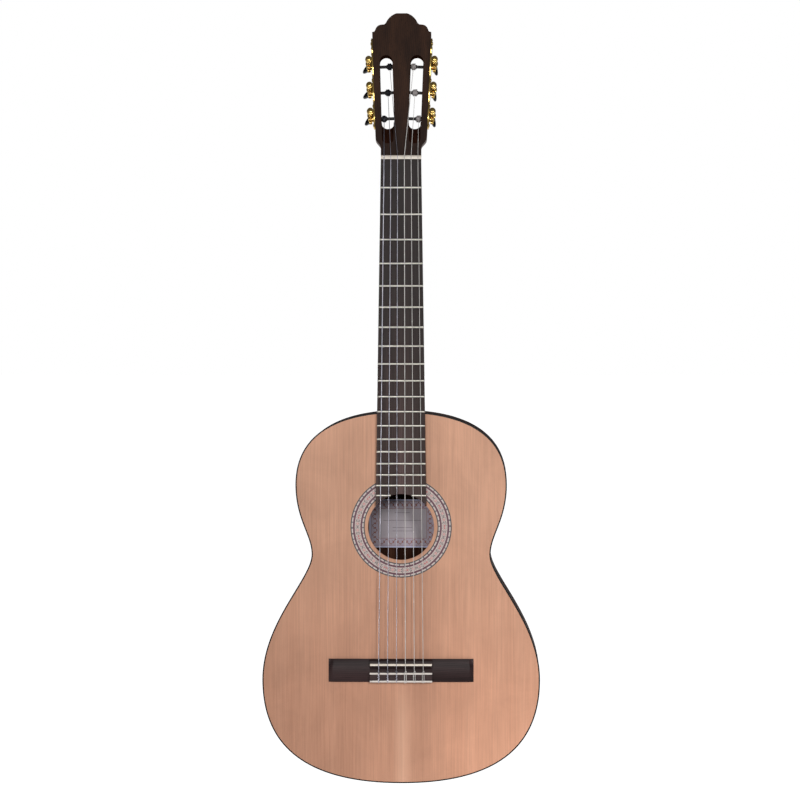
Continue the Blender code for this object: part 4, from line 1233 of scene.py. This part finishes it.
def roller_of(number):
    """A string's side and machine: the outer strings use the rollers nearest the nut."""
    return ("right", 3 - number) if number < 3 else ("left", number - 2)


def winding_start(number):
    """How far along its roller's axis a string arrives, and its layers' radii there."""
    side, row = roller_of(number)
    radius = STRING_DIAMETERS[number] / 2
    centre = machine(side, row)(0, 0, 0)
    a = (WINDING_U[row - 1] - abs(centre.x)) / cos(TAPER)
    return a, ROLLER_R + radius, WINDING_R - radius


def string_line(number):
    """A string's centre from the top of its winding, over the nut and the saddle, to the tie block."""
    a, _, outer = winding_start(number)
    start = machine(*roller_of(number))(a, 0, outer)
    nut_x, x = string_x(number, NUT_SPREAD), string_x(number, SADDLE_SPREAD)
    path = [start, (nut_x, ahead(STRING_AT_NUT - 0.6), NUT_Z + 4.6)]
    path += [(nut_x, ahead(STRING_AT_NUT), NUT_Z + 0.6), (x, ahead(STRING_AT_SADDLE), SADDLE_Z)]
    path += [(x, ahead(TIE_HOLE), z) for z in (TIE_FRONT + 0.8, BRIDGE_REAR - 0.2)]
    return rounded(path, 1.2)


def tied(x, path, reach):
    """A tie's path from (x, forward, height), starting in the string's hole."""
    start = [(0.0, TIE_HOLE, BRIDGE_REAR - 0.2)]
    return rounded([(x + across, ahead(f), z) for across, f, z in start + path], reach)


def treble_tie(x, radius):
    """Out of the hole, over the block, round the string in front, and back beside itself."""
    over, reach = TIE_TOP + 0.35 + radius, 1.1
    rear, front = BRIDGE_REAR + 1.2, TIE_FRONT - 0.9
    behind, below = BRIDGE_REAR - radius, TIE_FRONT + radius + 0.2
    path = [(-0.5, TIE_HOLE + 1.2, BRIDGE_REAR - 0.9), (-reach, over - 0.8, behind)]
    path += [(-reach, over, rear), (-reach, over, front), (-reach * 0.6, over - 0.7, below)]
    path += [(0.3, TIE_HOLE + 3.2, TIE_FRONT + 2.4), (1.0, TIE_HOLE + 2.2, TIE_FRONT + 2.2)]
    path += [(reach, over - 0.7, below), (reach, over, front), (reach, over, rear)]
    path += [(reach * 0.9, over - 0.9, behind), (reach * 0.4, over - 2.0, BRIDGE_REAR - 1.0)]
    return tied(x, path, 0.9)


def bass_tie(x, radius):
    """One strand over the block with the string's end twisted round it."""
    over = TIE_TOP + 0.35 + radius
    path = [(0.0, TIE_HOLE + 1.2, BRIDGE_REAR - 0.9), (0.0, over - 0.8, BRIDGE_REAR - radius)]
    path += [(0.0, over, BRIDGE_REAR + 1.2), (0.0, over, TIE_FRONT - 0.9)]
    path += [(-0.2, over - 0.8, TIE_FRONT + radius + 0.2), (-0.9, TIE_HOLE + 2.6, TIE_FRONT + 2.2)]
    path += [(0.0, TIE_HOLE + 3.4, TIE_FRONT + 2.7), (0.9, TIE_HOLE + 2.6, TIE_FRONT + 1.9)]
    strand = tied(x, [*path, (0.8, over - 0.6, TIE_FRONT + 0.9)], 0.8)
    reach, steps, length = 1.75 * radius, 14, 10.2
    count = 3 * steps
    for i in range(count + 1):
        turn = tau * i / steps
        lift = max(reach * sin(turn), -0.2)
        z = TIE_FRONT - 0.6 - length * i / count
        strand.append(Vector((x + reach * cos(turn), ahead(over + lift), z)))
    return strand


def coil(number):
    """A string's turns on its roller, in two layers."""
    place = about_roller(*roller_of(number))
    diameter, steps = STRING_DIAMETERS[number], 20
    pitch = diameter * 1.03
    a, inner, outer = winding_start(number)
    turns = int(WINDING_WIDTH / pitch)
    path = []
    for layer, (radius, way) in enumerate(((inner, 1), (outer, -1))):
        count = turns - layer
        for i in range(count * steps + 1):
            share = i / (count * steps)
            turn = tau * i / steps
            along = a + way * (share - 0.5) * count * pitch
            swell = radius + 0.12 * sin(5.3 * share + number)
            path.append(place(swell * sin(turn), swell * cos(turn), along))
    return tube(path, diameter / 2, 8)


def make_strings():
    """Three of nylon and three wound, each with its tie, and its turns that ride on the roller."""
    for number, diameter in enumerate(STRING_DIAMETERS):
        treble, radius = number < 3, diameter / 2
        # The turns on the rollers take darker copies of the strings' looks: painted shade.
        look, slot, painted_dark = (NYLON, "nylon", NYLON_PAINTED_SHADE) if treble else (SILVER, "wound_silver", PAINTED_SHADE_WINDING)
        tie = (treble_tie if treble else bass_tie)(string_x(number, SADDLE_SPREAD), radius)
        shape = tube([*string_line(number)[:-1], *tie], radius, 10)
        name = f"string_{number + 1}"
        piece(solid(name + "_line", shape, [look], sharp=60), slot, [name])
        where = "{}_{}".format(*roller_of(number))
        turns = solid(name + "_turns", coil(number), [painted_dark], sharp=60)
        piece(turns, slot, ["roller_" + where], "post_" + where)


# --- the machine heads -----------------------------------------------------------------------


def gear_loop(twist, inset):
    """Teeth round the axis, a gap between two of them pointing at the worm."""
    root, tip = GEAR_PITCH_R - DEDENDUM, GEAR_PITCH_R + ADDENDUM
    flank = [(root, -0.66), (root + 0.8, -0.46), (tip - 0.12, -0.3), (tip, -0.16)]
    flank += [(radius, -across) for radius, across in reversed(flank)]
    loop = []
    for tooth in range(GEAR_TEETH):
        middle = (tooth + 0.5) * tau / GEAR_TEETH + twist
        loop += [(radius - inset, middle + across / radius) for radius, across in flank]
    return [(r * cos(t), r * sin(t)) for r, t in loop]


def slotted_screw(start, radius, place):
    """A domed head with a straight slot across it, as one closed skin."""
    rim = circle((0, 0), radius, 28)
    rings = [[place(p, q, start - 0.4) for p, q in rim]]
    for share in (1.0, 0.97, 0.88, 0.72, 0.5, 0.25, 0.05):
        rise = start + 0.9 * sqrt(max(0.0, 1 - share**2)) + 0.25
        ring = []
        for p, q in rim:
            slot = 0.45 if abs(q * share) < 0.3 and share < 0.96 else 0.0
            ring.append(place(p * share, q * share, rise - slot))
        rings.append(ring)
    return loft(rings)


def make_post(side, number):
    """The roller's rod in the slot, and the gear outside with the screw that holds it."""
    place, where = about_roller(side, number), f"{side}_{number}"
    body, nodes = "post_" + where, ["roller_" + where]
    inner, outer = WORM_A - GEAR_HALF, WORM_A + GEAR_HALF
    a = winding_start(3 - number if side == "right" else number + 2)[0]
    rod = [(ROLLER_END, ROD_R - 0.4), (ROLLER_END + 0.4, ROD_R), (a - 4.2, ROD_R), (a - 3.8, ROLLER_R)]
    rod += [(a + 3.8, ROLLER_R), (a + 4.2, ROD_R), (-5.5, ROD_R), (-5.0, ROLLER_R), (-1.2, ROLLER_R)]
    rod += [(-0.6, ROLLER_R - 0.15), (inner - 0.4, ROLLER_R - 0.15), (inner - 0.1, ROLLER_R - 0.5)]
    piece(solid("rod_" + body, turned(rod, 32, place), [STEEL]), "dark_steel", nodes, body)
    lead = THREAD_PITCH / (tau * WORM_PITCH_R * GEAR_PITCH_R)
    levels = ((-2.0, 0.3), (-1.75, 0.0), (-0.9, 0.0), (0.0, 0.0), (0.9, 0.0), (1.75, 0.0), (2.0, 0.3))
    rings = [[place(p, q, WORM_A + off) for p, q in gear_loop(lead * off, inset)] for off, inset in levels]
    gear = solid("gear_" + body, loft(rings), [GOLD], sharp=40)
    hub = [(PLATE_A[1] + 0.1, 3.3), (PLATE_A[1] + 0.3, 3.5), (inner + 0.3, 3.5)]
    screw = slotted_screw(outer, 2.7, place)
    combine(gear, merge(screw, turned(hub, 32, place)), "UNION")
    piece(gear, "gold", nodes, body)


def worm_thread(place, root):
    """The helix round the shaft, fading out at both ends."""
    steps, turns = 20, THREAD_REACH / THREAD_PITCH
    count = int(2 * turns * steps)
    foot = root - 0.3
    rings = []
    for i in range(count + 1):
        turn = tau * (i / steps - turns)
        middle, angle = THREAD_PITCH * turn / tau, turn - pi / 2
        fade = min(1.0, (min(i, count - i) + 1) / 8)
        tip = root + (WORM_PITCH_R + ADDENDUM - root) * fade
        flank = [(foot, 0.66), (tip - 0.15 * fade, 0.3), (tip, 0.2)]
        ring = [(r, -half) for r, half in flank] + flank[::-1]
        rings.append([place(r * cos(angle), r * sin(angle), middle + half) for r, half in ring])
    return loft(rings)


def make_worm(side, number):
    """The shaft with its thread, collars and domed end."""
    place, where = about_worm(side, number), f"{side}_{number}"
    root = WORM_PITCH_R - DEDENDUM
    inner, outer = POST_C[0] - 0.15, POST_C[1] + 0.1
    collar = [(-inner, JOURNAL_R), (-inner, 2.2), (0.2 - inner, 2.4), (0.9 - inner, 2.3), (1.9 - inner, root)]
    profile = [(-25.8, JOURNAL_R - 0.4), (-25.4, JOURNAL_R), (-outer - 2.6, JOURNAL_R), (-outer - 2.3, 2.5)]
    profile += [(-outer - 1.9, 2.9), (-outer - 0.3, 2.9), (-outer, 2.6), (-outer, JOURNAL_R), *collar]
    profile += [(-height, radius) for height, radius in reversed(collar)]
    profile += [(outer, JOURNAL_R), (outer, 2.7), (outer + 0.3, 3.0), *dome(outer + 0.5, 2.95, 1.2)]
    worm = solid("worm_machine_" + where, turned(profile, 32, place), [GOLD])
    combine(worm, worm_thread(place, root), "UNION")
    piece(worm, "gold", ["worm_" + where], "machine_" + where)


def make_button(side, number):
    """A flat oval button, waisted where it meets the shaft."""
    place, where = about_worm(side, number), f"{side}_{number}"
    turn = -radians(BUTTON_TURNS[side][number - 1])
    stations = [(14.9, 2.2, 2.2), (15.0, 2.7, 2.6), (15.5, 2.95, 2.8), (17.0, 3.2, 2.9), (18.2, 4.9, 2.95)]
    stations += [(19.6, 8.0, 3.0), (21.4, 10.0, 3.0), (24.0, 11.1, 3.0), (27.0, 11.1, 2.95)]
    stations += [(29.4, 10.3, 2.75), (30.9, 8.7, 2.3), (31.7, 6.5, 1.7), (BUTTON_END, 3.8, 1.0)]
    full = [[copysign(abs(v) ** 0.85, v) for v in spot] for spot in circle((0, 0), 1.0, 36)]

    def twisted(p, q, c):
        return place(p * cos(turn) - q * sin(turn), p * sin(turn) + q * cos(turn), -c)

    rings = [[twisted(wide * p, thick * q, c) for p, q in full] for c, wide, thick in stations]
    button = solid("knob_machine_" + where, loft(rings), [BLACK], sharp=50)
    smooth = button.modifiers.new("smooth", "SUBSURF")
    smooth.levels = smooth.render_levels = 1
    piece(button, "black_plastic", ["button_" + where], "machine_" + where)


def plate_loop():
    """Waisted between the gears, with a lyre-shaped end towards the tip: (b, c), anticlockwise."""
    edge = [(-48.0, 3.0), (-46.5, 6.0), (-42.0, 8.5), (-36.0, 11.2), (-29.0, 11.4), (-22.0, 11.2)]
    edge += [(-17.5, 8.0), (-12.0, 8.0), (-3.0, 11.2), (5.0, 11.4), (13.0, 11.2), (17.5, 8.0), (23.0, 8.0)]
    edge += [(32.0, 11.2), (40.0, 11.4), (48.0, 11.2), (51.0, 8.5), (56.0, 10.5), (61.0, 10.0), (65.0, 6.5)]
    edge += [(69.0, 5.5), (72.5, 3.5), (74.0, 1.2)]
    half = [(p.x, p.y) for p in rounded([(b, c, 0.0) for b, c in edge], 2.6, 4)]
    return half[::-1] + [(b, -c) for b, c in half]


def bearing_posts(side):
    """The pairs of posts that hold the worms, waisted at their inner ends."""
    inner, outer = POST_C
    reach = outer - inner
    rim = [(0.0, 4.1), (0.25, 4.4), (0.8, POST_R)]
    rim += [(reach - 1.3, POST_R), (reach - 0.6, 4.3), (reach - 0.15, 3.8), (reach, 3.1)]
    posts = []
    for number in (1, 2, 3):
        for sign in (-1, 1):
            profile = [(sign * (inner + height), radius) for height, radius in rim]
            posts.append(turned(profile, 36, about_worm(side, number), 1.14))
    return posts


def make_plate(side):
    """The base plate with six bearing posts, four screws and an openwork end."""
    middle = machine(side, 2)
    near, far = PLATE_A
    loops = [plate_loop()]
    loops += [circle((b, 0.0), ROLLER_R + 0.15, 24) for b in (-35.0, 0.0, 35.0)]
    for sign in (-1, 1):
        loops.append([(57.0 + 3.6 * p, sign * 4.6 + 1.9 * q) for p, q in circle((0, 0), 1.0, 20)])
    flat = plate(loops, lambda p, a: middle(a, *p), edge_levels(near, far, 0.1))
    made = solid("machine_plate_" + side, flat, [GOLD], sharp=38)
    extras = bearing_posts(side)
    for b, c, radius in PLATE_BEADS:
        bead = [(far - 0.5, radius)] + dome(far, radius, radius * 0.4)
        extras.append(turned(bead, 20, lambda p, q, h: middle(h, b + p, c + q)))
    combine(made, merge(*extras), "UNION", 38)
    bore = [(c, JOURNAL_R + 0.06) for c in (-13.0, 13.0)]
    for number in (1, 2, 3):
        combine(made, turned(bore, 24, about_worm(side, number)), "DIFFERENCE", 38)
    piece(made, "gold", ["tuner_plate_" + side])
    screws = [slotted_screw(far - 0.1, 2.5, lambda p, q, h: middle(h, b + p, q)) for b in SCREW_B]
    screws = solid("plate_screws_" + side, merge(*screws), [GOLD], sharp=40)
    piece(screws, "gold", ["tuner_plate_" + side])


def dress_hidden_wood():
    """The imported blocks, linings and braces keep their own shapes and get their wood."""
    woods = {"lining": SPRUCE, "brace": SPRUCE, "harmonic": SPRUCE, "block": BLOCK_WOOD}
    for name, node in frame["nodes"].items():
        for word, look in woods.items():
            if word in name:
                node.data.materials.clear()
                node.data.materials.append(look)


# --- the studio ------------------------------------------------------------------------------


def make_floor():
    """A plain pale floor some way below the hanging guitar."""
    look = Look("floor_pale", 0.9, Emission_Color=(1.0, 1.0, 1.0, 1.0), Emission_Strength=0.95)
    speck = look.noise(30.0, 3.0)
    look.link(look.mix(speck, (0.86, 0.86, 0.86, 1.0), (0.9, 0.9, 0.9, 1.0)), "Base Color")
    reach, near, level = 40000.0, -300.0, -120.0
    corners = [(-reach, near, level), (reach, near, level), (reach, reach, level), (-reach, reach, level)]
    solid("floor", (corners, [[0, 1, 2, 3]]), [look.material])


def stand(name, data, spot, aim):
    """A lamp or the camera at a spot, turned to what it lights or sees."""
    obj = bpy.data.objects.new(name, data)
    obj.location = spot
    obj.rotation_euler = (Vector(aim) - Vector(spot)).to_track_quat("-Z", "Y").to_euler()
    bpy.context.scene.collection.objects.link(obj)
    return obj


def make_light(name, spot, size, power):
    lamp = bpy.data.lights.new(name, "AREA")
    lamp.shape = "RECTANGLE"
    lamp.size, lamp.size_y = size
    lamp.energy = power
    stand(name, lamp, spot, (0.0, 0.0, 0.5))


def make_world():
    """A soft grey room to everything but the camera, which sees white."""
    world = bpy.data.worlds.new("studio")
    bpy.context.scene.world = world
    world.use_nodes = True
    nodes, join = world.node_tree.nodes, world.node_tree.links.new
    nodes.clear()
    kinds = ("OutputWorld", "MixShader", "LightPath")
    output, choice, rays = (nodes.new("ShaderNode" + kind) for kind in kinds)
    join(rays.outputs["Is Camera Ray"], choice.inputs[0])
    for socket, colour, strength in ((1, (0.92, 0.96, 1.0, 1.0), 0.15), (2, (1.0, 1.0, 1.0, 1.0), 1.0)):
        light = nodes.new("ShaderNodeBackground")
        light.inputs[0].default_value = colour
        light.inputs[1].default_value = strength
        join(light.outputs[0], choice.inputs[socket])
    join(choice.outputs[0], output.inputs[0])


def make_camera():
    """In front of the guitar and a little above its middle, with a long lens."""
    camera = bpy.data.cameras.new("camera")
    camera.sensor_width = 36.0
    camera.lens = 192.0
    camera.clip_end = 100.0
    aim = Vector((-0.0014, FRONT_Y * MM, 0.4954))
    scene = bpy.context.scene
    scene.camera = stand("camera", camera, aim + Vector((0.112, -5.5, 0.12)), aim)
    scene.view_settings.view_transform = "Standard"


make_top()
make_rosette()
make_bindings()
make_ribs()
make_back()
make_label()
make_neck()
make_board()
make_frets()
make_nut()
make_bridge()
make_saddle()
make_strings()
for side in ("left", "right"):
    make_plate(side)
    for number in (1, 2, 3):
        make_post(side, number)
        make_worm(side, number)
        make_button(side, number)
dress_hidden_wood()
make_floor()
# Where each lamp stands and its size, in metres, and its power in watts.
make_light("key", (1.15, -4.0, 1.25), (0.4, 1.1), 78.0)
make_light("fill", (-2.2, -3.4, 1.0), (1.8, 2.2), 8.0)
make_light("front", (-0.6, -4.35, 0.85), (1.2, 0.5), 61.0)
make_world()
make_camera()
